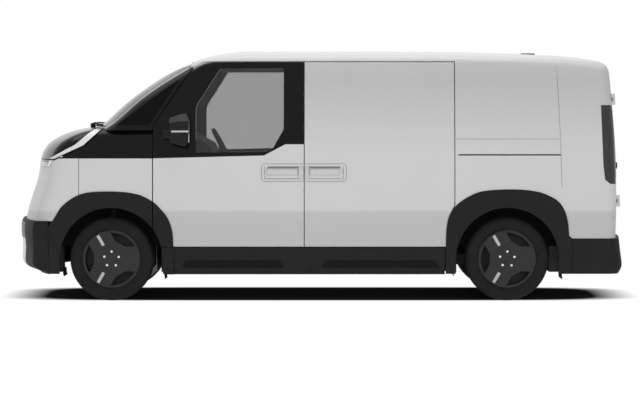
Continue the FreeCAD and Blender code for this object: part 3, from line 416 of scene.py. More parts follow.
def addSoftBox(name, place, turn, size, power, mirrored):
    data = bpy.data.lights.new(name, "AREA")
    data.shape = "RECTANGLE"
    data.size, data.size_y = size
    data.energy = power
    lamp = bpy.data.objects.new(name, data)
    lamp.location = place
    lamp.rotation_euler = [math.radians(angle) for angle in turn]
    lamp.visible_camera = False
    lamp.visible_glossy = mirrored
    lamp.visible_transmission = False
    scene.collection.objects.link(lamp)


studioFloor = {"size": 120.0, "reachX": 2.34, "reachY": 0.72, "middleY": 0.14, "corner": 5.0,
               "edge": (0.62, 1.35), "cloud": 3.0, "tone": (0.80, 0.83), "paintedShadowTone": 0.05}


def addFloor():  # white to the eye, save in a rounded oblong under the van, where it is matt and its colour is darkened as a painted shadow
    bpy.ops.mesh.primitive_grid_add(x_subdivisions=8, y_subdivisions=8,
                                    size=studioFloor["size"], location=(0.0, 0.0, 0.0))
    floor = bpy.context.active_object
    floor.name = "studioFloor"
    material = bpy.data.materials.new("studioFloor")
    material.use_nodes = True
    tree = material.node_tree
    tree.nodes.clear()
    place = objectPlace(tree)
    split = splitNode(tree, place)

    def steep(value, reach):  # small inside the reach, and rising steeply past it
        share = mathNode(tree, "ABSOLUTE", mathNode(tree, "DIVIDE", value, reach))
        return mathNode(tree, "POWER", share, studioFloor["corner"])

    alongX = steep(split["X"], studioFloor["reachX"])
    alongY = steep(mathNode(tree, "SUBTRACT", split["Y"], studioFloor["middleY"]),
                   studioFloor["reachY"])
    openArea = spreadNode(tree, mathNode(tree, "ADD", alongX, alongY), *studioFloor["edge"],
                          0.0, 1.0)
    seen = mathNode(tree, "MULTIPLY", seesWhite(tree), openArea)
    cloudy = spreadNode(tree, noiseNode(tree, place, studioFloor["cloud"], 3.0), 0.3, 0.7,
                        *studioFloor["tone"])
    # painted shadow: the floor's colour falls to a twentieth of its tone in the oblong under the
    # van
    level = mathNode(tree, "MULTIPLY", cloudy,
                     spreadNode(tree, openArea, 0.0, 1.0, studioFloor["paintedShadowTone"], 1.0))
    level = mathNode(tree, "MULTIPLY", level, mathNode(tree, "SUBTRACT", 1.0, seen))
    white = tree.nodes.new("ShaderNodeCombineColor")
    for label in ("Red", "Green", "Blue"):
        feed(tree, white.inputs[label], level)
    matte = tree.nodes.new("ShaderNodeBsdfDiffuse")
    feed(tree, matte.inputs["Color"], white.outputs[0])
    glow = tree.nodes.new("ShaderNodeEmission")
    feed(tree, glow.inputs["Color"], whiteLight)
    feed(tree, glow.inputs["Strength"], seen)
    both = tree.nodes.new("ShaderNodeAddShader")
    feed(tree, both.inputs[0], matte.outputs[0])
    feed(tree, both.inputs[1], glow.outputs[0])
    feed(tree, tree.nodes.new("ShaderNodeOutputMaterial").inputs["Surface"], both.outputs[0])
    floor.data.materials.append(material)


scene.view_settings.view_transform = "Standard"
addCamera()
addAir()
for name, softBox in softBoxes.items():
    addSoftBox(name, *softBox)
addFloor()
print("camera, lights and floor set")

# tools for modelling by hand


def freshStart():
    if bpy.context.mode != "OBJECT":
        bpy.ops.object.mode_set(mode="OBJECT")
    bpy.ops.object.select_all(action="DESELECT")


def only(piece):
    freshStart()
    piece.select_set(True)
    bpy.context.view_layer.objects.active = piece


def grabbed(name):
    piece = bpy.context.active_object
    piece.name = name
    piece.data.name = name
    return piece


def openEdit(piece):
    only(piece)
    bpy.ops.object.mode_set(mode="EDIT")


def closeEdit():
    bpy.ops.object.mode_set(mode="OBJECT")


def pick(kind, test):  # selects the faces or verts that pass a test, in edit mode
    bpy.ops.mesh.select_mode(type={"faces": "FACE", "verts": "VERT"}[kind])
    bpy.ops.mesh.select_all(action="DESELECT")
    mesh = bmesh.from_edit_mesh(bpy.context.edit_object.data)
    for item in getattr(mesh, kind):
        if test(item):
            item.select_set(True)
    mesh.select_flush_mode()
    bmesh.update_edit_mesh(bpy.context.edit_object.data)


def pickSide(side):  # the faces that look to the van's left (1) or right (-1)
    pick("faces", lambda face: face.normal.y * side > 0.9)


def cleanShell(threshold=0.0):  # merges doubles and turns the faces outwards, in edit mode
    bpy.ops.mesh.select_all(action="SELECT")
    if threshold:
        bpy.ops.mesh.remove_doubles(threshold=threshold)
    bpy.ops.mesh.normals_make_consistent(inside=False)


def faceTo(piece, outward):  # turns an open sheet's faces to one side
    openEdit(piece)
    cleanShell()
    closeEdit()
    if sum(polygon.normal.dot(outward) for polygon in piece.data.polygons) < 0:
        openEdit(piece)
        bpy.ops.mesh.select_all(action="SELECT")
        bpy.ops.mesh.flip_normals()
        closeEdit()


def openRing(name, spots, fill):  # a ring through these places, left in edit mode
    freshStart()
    bpy.ops.mesh.primitive_circle_add(vertices=len(spots), radius=0.1, fill_type=fill,
                                      location=(0.0, 0.0, 0.0))
    piece = grabbed(name)
    openEdit(piece)
    mesh = bmesh.from_edit_mesh(piece.data)
    for vert, spot in zip(mesh.verts, spots):
        vert.co = spot
    bmesh.update_edit_mesh(piece.data)
    return piece


def apply(piece, kind, **settings):
    bpy.context.view_layer.objects.active = piece
    modifier = piece.modifiers.new(kind.title(), kind)
    for label, value in settings.items():
        setattr(modifier, label, value)
    bpy.ops.object.modifier_apply(modifier=modifier.name)


def softEdge(piece, width, segments=2):
    apply(piece, "BEVEL", width=width, segments=segments, limit_method="ANGLE")


def fixPlace(piece):
    only(piece)
    bpy.ops.object.transform_apply(location=True, rotation=True, scale=True)


def joined(pieces, name):
    freshStart()
    for piece in pieces:
        piece.select_set(True)
    bpy.context.view_layer.objects.active = pieces[0]
    bpy.ops.object.join()
    return grabbed(name)


def settle(piece, finish, body, smooth=35.0):
    fixPlace(piece)
    bpy.ops.object.shade_smooth_by_angle(angle=math.radians(smooth))
    piece.data.materials.clear()
    piece.data.materials.append(finishes[finish])
    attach(piece, body)


def mirroredCopy(piece, name):  # the same piece on the van's right
    only(piece)
    bpy.ops.object.duplicate()
    other = grabbed(name)
    bpy.ops.object.mode_set(mode="EDIT")
    bpy.ops.mesh.select_all(action="SELECT")
    bpy.ops.transform.resize(value=(1.0, -1.0, 1.0), center_override=(0.0, 0.0, 0.0))
    cleanShell()
    closeEdit()
    return other


def bothSides(piece, name, finish, body, smooth=35.0):
    other = mirroredCopy(piece, name + "_right")
    piece.name = name + "_left"
    settle(piece, finish, body.format("left"), smooth)
    settle(other, finish, body.format("right"), smooth)
    return piece, other


# tyres with ribs, sipes and sidewall rings

axles = {"front": 1.578, "rear": -1.417, "y": 0.787, "z": 0.316}
tyreShape = {
    "half": 0.1025, "radius": 0.316, "steps": 132, "grooveDepth": 0.0065,
    "grooves": (-0.052, -0.018, 0.018, 0.052), "grooveHalf": 0.0038, "grooveFoot": 0.6,
    "sipeRadius": 0.3085, "sipeBand": (0.056, 0.092), "sipeEvery": 3, "sipeRim": 0.0016,
    "sipeDepth": 0.004,
    "sidewall": [(0.0905, 0.2165), (0.0925, 0.2235), (0.0985, 0.2285), (0.0985, 0.2325),
                 (0.0950, 0.2365), (0.0985, 0.2520), (0.1008, 0.2600), (0.1018, 0.2606),
                 (0.1018, 0.2622), (0.1010, 0.2630), (0.1025, 0.2740), (0.1010, 0.2850),
                 (0.1006, 0.2862), (0.0992, 0.2868), (0.0955, 0.2965), (0.0890, 0.3060),
                 (0.0800, 0.3115), (0.0700, 0.3142)],
}


def tyreProfile():
    side, top = tyreShape["sidewall"], tyreShape["radius"]
    edge, depth = tyreShape["grooveHalf"], tyreShape["grooveDepth"]
    foot = edge * tyreShape["grooveFoot"]
    points = [(-y, r) for y, r in side]
    for centre in tyreShape["grooves"]:
        points += [(centre - edge, top), (centre - foot, top - depth),
                   (centre + foot, top - depth), (centre + edge, top)]
    return points + [(y, r) for y, r in reversed(side)]


def makeTyre(name, centre):
    piece = openRing(name, [(0.0, y, radius) for y, radius in tyreProfile()], "NOTHING")
    bpy.ops.mesh.select_all(action="SELECT")
    bpy.ops.mesh.spin(steps=tyreShape["steps"], angle=math.radians(360.0),
                      center=(0.0, 0.0, 0.0), axis=(0.0, 1.0, 0.0))
    cleanShell(0.00002)
    step = 2.0 * math.pi / tyreShape["steps"]
    inner, outer = tyreShape["sipeBand"]

    def isSipe(face):  # some of the shoulders' faces, evenly spaced
        spot = face.calc_center_median()
        turn = int(round(math.atan2(spot.z, spot.x) / step - 0.5))
        return (math.hypot(spot.x, spot.z) > tyreShape["sipeRadius"]
                and inner < abs(spot.y) < outer and turn % tyreShape["sipeEvery"] == 0)

    pick("faces", isSipe)
    bpy.ops.mesh.inset(thickness=tyreShape["sipeRim"], use_individual=False)
    bpy.ops.transform.shrink_fatten(value=-tyreShape["sipeDepth"])
    closeEdit()
    piece.location = centre
    return piece


wheelPlaces = {}
for axle in ("front", "rear"):
    for hand, side in (("left", 1), ("right", -1)):
        wheelPlaces[axle + "_" + hand] = ((axles[axle], side * axles["y"], axles["z"]), side)
for key, (centre, side) in wheelPlaces.items():
    tyre = makeTyre("tyreTread_" + key, centre)
    settle(tyre, "tyre", "wheel_" + key, smooth=28.0)
    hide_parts("tyre_" + key)
print("tyres made")

# bolts and light strips on the wheel covers

plateOut = 0.086 + 0.009  # from the wheel's middle to the cover's face
boltShape = {"count": 5, "circle": 0.05715, "radius": 0.0105, "proud": 0.006, "turn": 19.0,
             "rim": 0.0022, "raised": 0.0022, "dishRim": 0.003, "dish": 0.0016, "edge": 0.0006}
stripShape = {"angles": (60.0, -60.0), "inner": 0.118, "outer": 0.206, "half": 0.0115,
              "thick": 0.0022, "out": 0.007 + 0.0008, "rim": 0.0015, "raised": 0.0006,
              "edge": 0.0004}


def makeBolt(x, face, z, side):
    freshStart()
    bpy.ops.mesh.primitive_cylinder_add(vertices=6, radius=boltShape["radius"],
                                        depth=boltShape["proud"], location=(x, face, z),
                                        rotation=(math.radians(-90.0 * side), 0.0, 0.0))
    piece = grabbed("bolt")
    fixPlace(piece)
    openEdit(piece)
    pickSide(side)
    bpy.ops.mesh.inset(thickness=boltShape["rim"])
    bpy.ops.transform.translate(value=(0.0, boltShape["raised"] * side, 0.0))
    bpy.ops.mesh.inset(thickness=boltShape["dishRim"])
    bpy.ops.transform.translate(value=(0.0, -boltShape["dish"] * side, 0.0))
    closeEdit()
    softEdge(piece, boltShape["edge"])
    return piece


def makeStrip(centre, face, angle, side):
    freshStart()
    inner, outer = stripShape["inner"], stripShape["outer"]
    middle = (centre[0], face, centre[2])
    bpy.ops.mesh.primitive_cube_add(size=1.0, location=middle)
    piece = grabbed("strip")
    openEdit(piece)
    bpy.ops.mesh.select_all(action="SELECT")
    bpy.ops.transform.resize(value=(outer - inner, stripShape["thick"], 2 * stripShape["half"]),
                             center_override=middle)
    bpy.ops.transform.translate(value=((outer + inner) / 2, 0.0, 0.0))
    pickSide(side)
    bpy.ops.mesh.inset(thickness=stripShape["rim"])
    bpy.ops.transform.translate(value=(0.0, stripShape["raised"] * side, 0.0))
    mesh = bmesh.from_edit_mesh(piece.data)
    cosine, sine = math.cos(angle), math.sin(angle)
    for vert in mesh.verts:
        dx, dz = vert.co.x, vert.co.z
        vert.co.x, vert.co.z = dx * cosine - dz * sine, dx * sine + dz * cosine
    bmesh.update_edit_mesh(piece.data)
    closeEdit()
    softEdge(piece, stripShape["edge"])
    return piece


for key, (centre, side) in wheelPlaces.items():
    plateFace = centre[1] + side * plateOut
    bolts = []
    for index in range(boltShape["count"]):
        turn = math.radians(boltShape["turn"] + 360.0 / boltShape["count"] * index)
        bolts.append(makeBolt(centre[0] + boltShape["circle"] * math.cos(turn),
                              plateFace + side * boltShape["proud"] / 2,
                              centre[2] + boltShape["circle"] * math.sin(turn), side))
    settle(joined(bolts, "wheelBolts_" + key), "bright", "wheel_" + key)
    strips = [makeStrip(centre, plateFace + side * stripShape["out"], math.radians(angle), side)
              for angle in stripShape["angles"]]
    settle(joined(strips, "wheelStrips_" + key), "trim", "wheel_" + key)
print("wheel bolts and strips made")

# strips that lie on the body: each is a ribbon in one view, cast onto its panel

facings = {  # the axis it is cast along, its outward way, where it starts, and what has missed
    "left": {"axis": "y", "way": 1, "start": 1.3, "beyond": 1.25},
    "front": {"axis": "x", "way": 1, "start": 2.6, "beyond": 2.5},
    "back": {"axis": "x", "way": -1, "start": 2.6, "beyond": 2.5},
}
nearest = 0.3  # what lands nearer the van's middle went through an opening


def along(points, share):  # the point at a share of a broken line's length
    lengths = [math.dist(a, b) for a, b in zip(points, points[1:])]
    left = share * sum(lengths)
    for (a, b), length in zip(zip(points, points[1:]), lengths):
        if left <= length or (a, b) == (points[-2], points[-1]):
            part = min(1.0, left / length)
            return (a[0] + (b[0] - a[0]) * part, a[1] + (b[1] - a[1]) * part)
        left -= length


def layRibbon(name, upper, lower, target, thick, cells=(64, 4), lift=0.0006, facing="left"):
    cast = facings[facing]
    sideways, way = cast["axis"] == "y", cast["way"]
    freshStart()
    bpy.ops.mesh.primitive_grid_add(x_subdivisions=cells[0], y_subdivisions=cells[1], size=1.0,
                                    location=(0.0, 0.0, 0.0))
    piece = grabbed(name)
    for vert in piece.data.vertices:
        first, second = along(upper, vert.co.x + 0.5), along(lower, vert.co.x + 0.5)
        part, out = vert.co.y + 0.5, way * cast["start"]
        across = first[0] + (second[0] - first[0]) * part
        height = first[1] + (second[1] - first[1]) * part
        vert.co = (across, out, height) if sideways else (out, across, height)
    only(nodes[target])
    bpy.ops.object.duplicate()
    base = bpy.context.active_object
    only(piece)
    apply(piece, "SHRINKWRAP", target=base, wrap_method="PROJECT",
          use_project_x=not sideways, use_project_y=sideways,
          use_negative_direction=way == 1, use_positive_direction=way == -1, offset=lift)
    bpy.data.objects.remove(base)

    def missed(vert):
        reach = abs(getattr(vert.co, cast["axis"]))
        return reach > cast["beyond"] or reach < nearest

    openEdit(piece)
    pick("verts", missed)
    bpy.ops.mesh.delete(type="VERT")
    closeEdit()
    faceTo(piece, Vector((0, way, 0) if sideways else (way, 0, 0)))
    only(piece)
    apply(piece, "SOLIDIFY", thickness=thick, offset=1.0)
    return piece


stripeThick = 0.003
stripes = {
    "bonnetStripe": {"upper": [(1.712, 1.297), (1.852, 1.179), (2.050, 1.0745)],
                     "lower": [(1.662, 1.2925), (1.786, 1.1775), (2.010, 1.0745)],
                     "on": "bonnet", "body": "bonnet"},
    "lampStripe": {"upper": [(2.054, 1.060), (2.0690, 1.010)],
                   "lower": [(2.016, 1.060), (2.0545, 1.010)],
                   "on": "headlamps", "body": "chassis"},
}
for name, stripe in stripes.items():
    strip = layRibbon(name + "_left", stripe["upper"], stripe["lower"], stripe["on"],
                      stripeThick)
    bothSides(strip, name, "stripe", stripe["body"], smooth=40.0)
print("body stripes laid")

# bars, which are a section pulled along a line of places, and boxes with one face shaped


def pulledBar(name, section, path, across=("x", "z"), scales=None, bevel=0.0):
    sizes = scales or [1.0] * len(path)
    spots = []
    for offsets in section:
        spot = Vector(path[0])
        for axis, offset in zip(across, offsets):
            setattr(spot, axis, getattr(spot, axis) + offset * sizes[0])
        spots.append(spot)
    piece = openRing(name, spots, "NGON")
    for index in range(1, len(path)):
        bpy.ops.mesh.select_mode(type="FACE")
        step = Vector(path[index]) - Vector(path[index - 1])
        bpy.ops.mesh.extrude_region_move(TRANSFORM_OT_translate={"value": tuple(step)})
        if sizes[index] != sizes[index - 1]:
            ratio = sizes[index] / sizes[index - 1]
            bpy.ops.transform.resize(value=(ratio, ratio, ratio), center_override=path[index])
    cleanShell(0.00001)
    closeEdit()
    if bevel:
        softEdge(piece, bevel)
    return piece


def shapedBox(name, x, y, z, bevel, crown=None, segments=3):
    low, high = zip(x, y, z)
    freshStart()
    middle = [(a + b) / 2 for a, b in zip(low, high)]
    bpy.ops.mesh.primitive_cube_add(size=1.0, location=middle)
    piece = grabbed(name)
    openEdit(piece)
    bpy.ops.mesh.select_all(action="SELECT")
    bpy.ops.transform.resize(value=[b - a for a, b in zip(low, high)], center_override=middle)
    if crown:  # the axis and way of a face, how far it is drawn in, and how far raised
        axis, way, inset, rise = crown
        pick("faces", lambda face: getattr(face.normal, axis) * way > 0.9)
        bpy.ops.mesh.inset(thickness=inset)
        bpy.ops.transform.translate(value=[way * rise * (axis == item) for item in "xyz"])
    closeEdit()
    fixPlace(piece)
    if bevel:
        softEdge(piece, bevel, segments)
    return piece


# wipers along the foot of the windscreen

wiper = {
    "arcRadius": 2.452, "arcCentre": -0.70, "z": 1.326, "reach": ((0.70, 0.04), (-0.06, -0.70)),
    "spindle": (0.62, -0.14), "steps": 12, "bladeAhead": 0.006, "bladeEdge": 0.0006,
    "armEdge": 0.001,
    "blade": [(-0.0055, -0.007), (0.0055, -0.007), (0.0033, 0.004), (0.0015, 0.012),
              (-0.0015, 0.012), (-0.0033, 0.004)],
    "arm": [(-0.010, -0.004), (0.010, -0.004), (0.008, 0.006), (-0.008, 0.006)],
    # share of the way from the spindle to the blade's middle, place ahead, rise and scale
    "armPath": ((0.0, 0.062, -0.004, 1.3), (0.2, 0.056, 0.012, 1.2), (0.6, 0.03, 0.02, 0.9),
                (1.0, 0.010, 0.016, 0.7)),
    "cap": {"radius": 0.019, "depth": 0.03, "rim": 0.005, "raised": 0.004, "edge": 0.0015},
}


def wiperPlace(y, ahead, rise):
    x = wiper["arcCentre"] + math.sqrt((wiper["arcRadius"] + ahead) ** 2 - y * y)
    return (x, y, wiper["z"] + rise)


def spindleCap(place):
    freshStart()
    shape = wiper["cap"]
    bpy.ops.mesh.primitive_cylinder_add(vertices=28, radius=shape["radius"],
                                        depth=shape["depth"], location=place)
    cap = grabbed("cap")
    openEdit(cap)
    pick("faces", lambda face: face.normal.z > 0.9)
    bpy.ops.mesh.inset(thickness=shape["rim"])
    bpy.ops.transform.translate(value=(0.0, 0.0, shape["raised"]))
    closeEdit()
    softEdge(cap, shape["edge"])
    fixPlace(cap)
    return cap


for index, (start, end) in enumerate(wiper["reach"]):
    spots = [start + (end - start) * step / wiper["steps"] for step in range(wiper["steps"] + 1)]
    blade = pulledBar("blade", wiper["blade"],
                      [wiperPlace(y, wiper["bladeAhead"], 0.0) for y in spots],
                      bevel=wiper["bladeEdge"])
    pivot, centre = wiper["spindle"][index], start + (end - start) * 0.5
    arm = pulledBar("arm", wiper["arm"],
                    [wiperPlace(pivot * (1.0 - share) + centre * share, ahead, rise)
                     for share, ahead, rise, size in wiper["armPath"]],
                    scales=[size for share, ahead, rise, size in wiper["armPath"]],
                    bevel=wiper["armEdge"])
    cap = spindleCap(wiperPlace(pivot, *wiper["armPath"][0][1:3]))
    settle(joined([blade, arm, cap], "wiper_%d" % index), "seal", "chassis")
print("wipers made")

# roof aerial pod

aerial = {"x": (-1.695, -1.583), "y": (-0.032, 0.032), "z": (1.872, 1.889), "bevel": 0.005,
          "crown": ("z", 1, 0.012, 0.004), "segments": 4}
settle(shapedBox("roofAerial", **aerial), "glossBlack", "chassis")

# mud flaps behind and ahead of the wheels: x, the height of the top and of the foot

flaps = {"thick": 0.006, "inner": 0.655, "outer": 0.885, "waist": 0.7, "above": 0.03,
         "lean": (0.001, 0.003, 0.007), "edge": 0.001,
         "places": {"front": (1.944, 0.214, 0.186), "mid": (1.178, 0.214, 0.164),
                    "back": (-1.826, 0.222, 0.164), "fore": (-1.006, 0.212, 0.188)}}
half, wide = flaps["thick"] / 2, (flaps["outer"] - flaps["inner"]) / 2
middleY = (flaps["outer"] + flaps["inner"]) / 2
flapSection = [(-half, -wide), (half, -wide), (half * flaps["waist"], 0.0), (half, wide),
               (-half, wide), (-half * flaps["waist"], 0.0)]
for name, (x, top, low) in flaps["places"].items():
    path = [(x, middleY, top + flaps["above"])]
    for lean, z in zip(flaps["lean"], (top, (top + low) / 2, low)):
        path.append((x - lean, middleY, z))
    flap = pulledBar("flap", flapSection, path, across=("x", "y"), bevel=flaps["edge"])
    bothSides(flap, "mudFlap_" + name, "seal", "chassis")
print("aerial and flaps made")

# sill mouldings: long sunk strips with slanted ends, broken once at the middle

sillStrip = {"low": 0.252, "high": 0.306, "runs": ((1.045, 0.275), (-0.005, -0.90)),
             "slant": 0.03, "thick": 0.005, "sunk": 0.0005, "edge": 0.0015}
for index, (start, end) in enumerate(sillStrip["runs"]):
    low, high, slant = sillStrip["low"], sillStrip["high"], sillStrip["slant"]
    strip = layRibbon("sillStrip", [(start - slant, high), (end + slant, high)],
                      [(start, low), (end, low)], "sills", sillStrip["thick"],
                      cells=(12, 3), lift=-sillStrip["sunk"])
    softEdge(strip, sillStrip["edge"])
    bothSides(strip, "sillStrip%d" % index, "seal", "chassis")
print("sill strips laid")

# mirrors: a lighter top cap as painted light, a pale side strip as a painted highlight, and the
# looking glass on each door's housing

mirrorCap = {"upper": [(1.124, 1.3775), (1.032, 1.413), (1.003, 1.413), (0.990, 1.392)],
             "lower": [(1.124, 1.346), (1.060, 1.357), (1.000, 1.360), (0.983, 1.360)],
             "thick": 0.0035}
mirrorHighlight = {"x": (0.984, 1.112), "z": (1.276, 1.290), "thick": 0.0045, "edge": 0.001}
lookingGlass = {"x": (0.9792, 0.9842), "y": (0.976, 1.072), "z": (1.20, 1.355),
                "bevel": 0.0015, "crown": ("x", -1, 0.006, 0.0006)}
# painted light: the mirror's top in a lighter grey than its shell
cap = layRibbon("mirrorCap", mirrorCap["upper"], mirrorCap["lower"], "mirror_left",
                mirrorCap["thick"], cells=(24, 8))
bothSides(cap, "mirrorCap", "mirrorCap", "front_door_{}")
# painted highlight: a pale line along the mirror's side
(start, end), (low, high) = mirrorHighlight["x"], mirrorHighlight["z"]
strip = layRibbon("mirrorHighlight", [(end, high), (start, high)], [(end, low), (start, low)],
                  "mirror_left", mirrorHighlight["thick"], cells=(16, 2))
softEdge(strip, mirrorHighlight["edge"])
bothSides(strip, "mirrorHighlight", "trim", "front_door_{}")
glass = shapedBox("mirrorGlass", **lookingGlass)
bothSides(glass, "mirrorGlass", "mirrorGlass", "front_door_{}")
print("mirrors dressed")

# head and tail lamps: what a lens piece lies on, its finish and its slot, then the pieces

lensThick = 0.002
lensKinds = {"head": ("headlamps", "lampClear", "headlamp"),
             "tail": ("tail_lamps", "lampRed", "tail_lamp")}
lampCells = {  # kind, the view it is cast in, and the ends of its two edges
    "lampCellSide": ("head", "left", [(2.085, 1.044), (2.16, 1.044)],
                     [(2.088, 1.012), (2.16, 1.012)]),
    "lampCellFront": ("head", "front", [(0.83, 1.044), (0.56, 1.044)],
                      [(0.83, 1.012), (0.56, 1.012)]),
    "tailBarOuter": ("tail", "back", [(0.842, 1.455), (0.850, 0.93)],
                     [(0.822, 1.455), (0.830, 0.93)]),
    "tailBarInner": ("tail", "back", [(0.790, 1.455), (0.794, 0.93)],
                     [(0.768, 1.455), (0.770, 0.93)]),
}
for name, (kind, facing, upper, lower) in lampCells.items():
    target, finish, slotName = lensKinds[kind]
    lens = layRibbon(name, upper, lower, target, lensThick, cells=(28, 4), facing=facing)
    bothSides(lens, name, finish, "chassis")
print("lamps dressed")

# seats: a plastic frame on a plinth, and three sewn pads each

seat = {"middle": 0.4, "leanFoot": 0.745, "lean": 0.20, "voxel": 0.007, "pressure": 4.0,
        "cap": 0.012, "frames": 20, "fill": 0.6, "seamWidth": 0.009}
padShapes = {  # "half" is half the width, "seam" the sewn lines' distance from the middle
    "seatCushion": {"x": (0.30, 0.785), "half": 0.225, "z": (0.632, 0.742), "edge": 0.03,
                    "crown": ("z", 1, 0.05, 0.004), "seam": 0.135, "sink": 0.007,
                    "leans": False},
    "seatBack": {"x": (0.215, 0.305), "half": 0.215, "z": (0.745, 1.20), "edge": 0.028,
                 "crown": ("x", 1, 0.05, 0.004), "seam": 0.13, "sink": 0.007, "leans": True},
    "headRest": {"x": (0.245, 0.315), "half": 0.125, "z": (1.232, 1.385), "edge": 0.022,
                 "crown": ("x", 1, 0.03, 0.003), "seam": 0.10, "sink": 0.004, "leans": True},
}
frameShapes = {
    "plinth": {"x": (0.302, 0.758), "half": 0.198, "z": (0.345, 0.612), "bevel": 0.012,
               "crown": ("z", 1, 0.03, 0.008)},
    "shell": {"x": (0.195, 0.217), "half": 0.205, "z": (0.70, 1.195), "bevel": 0.009,
              "crown": ("x", -1, 0.05, 0.006), "segments": 4},
    "pan": {"x": (0.225, 0.765), "half": 0.215, "z": (0.606, 0.636), "bevel": 0.008},
}
postShape = {"x": 0.262, "apart": 0.06, "z": (1.17, 1.26), "radius": 0.006, "sides": 12}


def seatBox(name, x, half, z, bevel, crown=None, segments=3):
    return shapedBox(name, x, (seat["middle"] - half, seat["middle"] + half), z, bevel, crown,
                     segments)


def puff(piece):  # cloth swells the pad, then each point is held to a small move
    only(piece)
    piece.data.remesh_voxel_size = seat["voxel"]
    bpy.ops.object.voxel_remesh()
    before = [vert.co.copy() for vert in piece.data.vertices]
    cloth = piece.modifiers.new("Cloth", "CLOTH")
    cloth.settings.use_pressure = True
    cloth.settings.uniform_pressure_force = seat["pressure"]
    cloth.settings.effector_weights.gravity = 0.0
    cloth.settings.quality = 4
    cloth.point_cache.frame_start = 1
    cloth.point_cache.frame_end = seat["frames"]
    for frameNumber in range(1, seat["frames"] + 1):
        scene.frame_set(frameNumber)
    bpy.ops.object.modifier_apply(modifier=cloth.name)
    scene.frame_set(1)
    for vert, start in zip(piece.data.vertices, before):
        move = vert.co - start
        if move.length > seat["cap"]:
            vert.co = start + move * (seat["cap"] / move.length)


def sew(piece, lines, depth):  # channels along a pad
    openEdit(piece)
    mesh = bmesh.from_edit_mesh(piece.data)
    mesh.normal_update()
    moves = []
    for vert in mesh.verts:
        near = min(abs(vert.co.y - line) for line in lines)
        moves.append((vert, vert.normal * -depth * math.exp(-(near / seat["seamWidth"]) ** 2)))
    for vert, move in moves:
        vert.co += move
    bmesh.update_edit_mesh(piece.data)
    closeEdit()


def leanBack(piece):  # shears a piece backwards from the foot of the back
    openEdit(piece)
    mesh = bmesh.from_edit_mesh(piece.data)
    for vert in mesh.verts:
        vert.co.x -= max(0.0, vert.co.z - seat["leanFoot"]) * seat["lean"]
    bmesh.update_edit_mesh(piece.data)
    closeEdit()


def makePad(shape):
    piece = seatBox("pad", shape["x"], shape["half"], shape["z"], 0.0, shape["crown"])
    openEdit(piece)
    bpy.ops.mesh.select_all(action="SELECT")
    bpy.ops.mesh.subdivide(number_cuts=3, smoothness=0.0)
    closeEdit()
    softEdge(piece, shape["edge"], 4)
    puff(piece)
    sew(piece, [seat["middle"] - shape["seam"], seat["middle"] + shape["seam"]], shape["sink"])
    if shape["leans"]:
        leanBack(piece)
    return piece


def makePost(way):
    section = []
    for index in range(postShape["sides"]):
        turn = 2.0 * math.pi * index / postShape["sides"]
        section.append((postShape["radius"] * math.cos(turn),
                        postShape["radius"] * math.sin(turn)))
    path = [(postShape["x"] - (z - seat["leanFoot"]) * seat["lean"],
             seat["middle"] + way * postShape["apart"], z) for z in postShape["z"]]
    return pulledBar("post", section, path, across=("x", "y"))


pads = {name: makePad(shape) for name, shape in padShapes.items()}
frameParts = [seatBox(name, **shape) for name, shape in frameShapes.items()]
leanBack(frameParts[list(frameShapes).index("shell")])
seatFrame = joined(frameParts + [makePost(way) for way in (-1, 1)], "seatFrame")
seatPieces = list(bothSides(seatFrame, "seatFrame", "cabin", "chassis",
                            smooth=40.0))
for name, pad in pads.items():
    for part in bothSides(pad, name, "seat", "chassis", smooth=40.0):
        seatPieces.append(part)
for part in seatPieces:
    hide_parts("seats")
print("seats sewn")

# side handles: painted shade along a sunk bowl's edges and round it, a pull bar and the lock block
# on each door; all spans are along the van, and all levels are the top and the foot

handles = {"front": {"node": "door_panel_left", "body": "front_door_{}", "bar": (0.396, 0.170),
                     "bowl": (0.421, 0.126), "ring": (0.444, 0.126), "block": (0.160, 0.127)},
           "slide": {"node": "sliding_door_left", "body": "chassis", "bar": (0.073, -0.1435),
                     "bowl": (0.118, -0.178), "ring": (0.118, -0.201),
                     "block": (0.117, 0.083)}}
handleLevels = {"bar": (0.995, 0.953), "bowl": (1.017, 0.923), "ring": (1.040, 0.903)}
handleShape = {"chamfer": 0.018, "shade": 0.012, "line": 0.0035, "mitre": 0.001,
               "lift": 0.0004, "barThick": 0.0105, "barEdge": 0.003, "blockThick": 0.012,
               "blockEdge": 0.002, "lineThick": 0.0012}


def levelStrip(span, levels, node, thick, cells=(10, 2)):
    (start, end), (high, low) = span, levels
    return layRibbon("strip", [(start, high), (end, high)], [(start, low), (end, low)], node,
                     thick, cells=cells, lift=handleShape["lift"])


def handleShadeRing(span, way, node):  # a thin line of painted shade round the bowl, chamfered at its outer end
    (high, low), line = handleLevels["ring"], handleShape["line"]
    inner, outer = sorted(span, key=abs)
    cut, mitre = handleShape["chamfer"], handleShape["mitre"]
    corners = [(inner, high), (outer - way * cut, high), (outer, high - cut),
               (outer, low + cut), (outer - way * cut, low), (inner, low)]
    shifted = outer - way * (cut + mitre)
    inside = [(inner, high - line), (shifted, high - line),
              (outer - way * line, high - cut - mitre), (outer - way * line, low + cut + mitre),
              (shifted, low + line), (inner, low + line)]
    return layRibbon("ring", corners, inside, node, handleShape["lineThick"], cells=(72, 2))


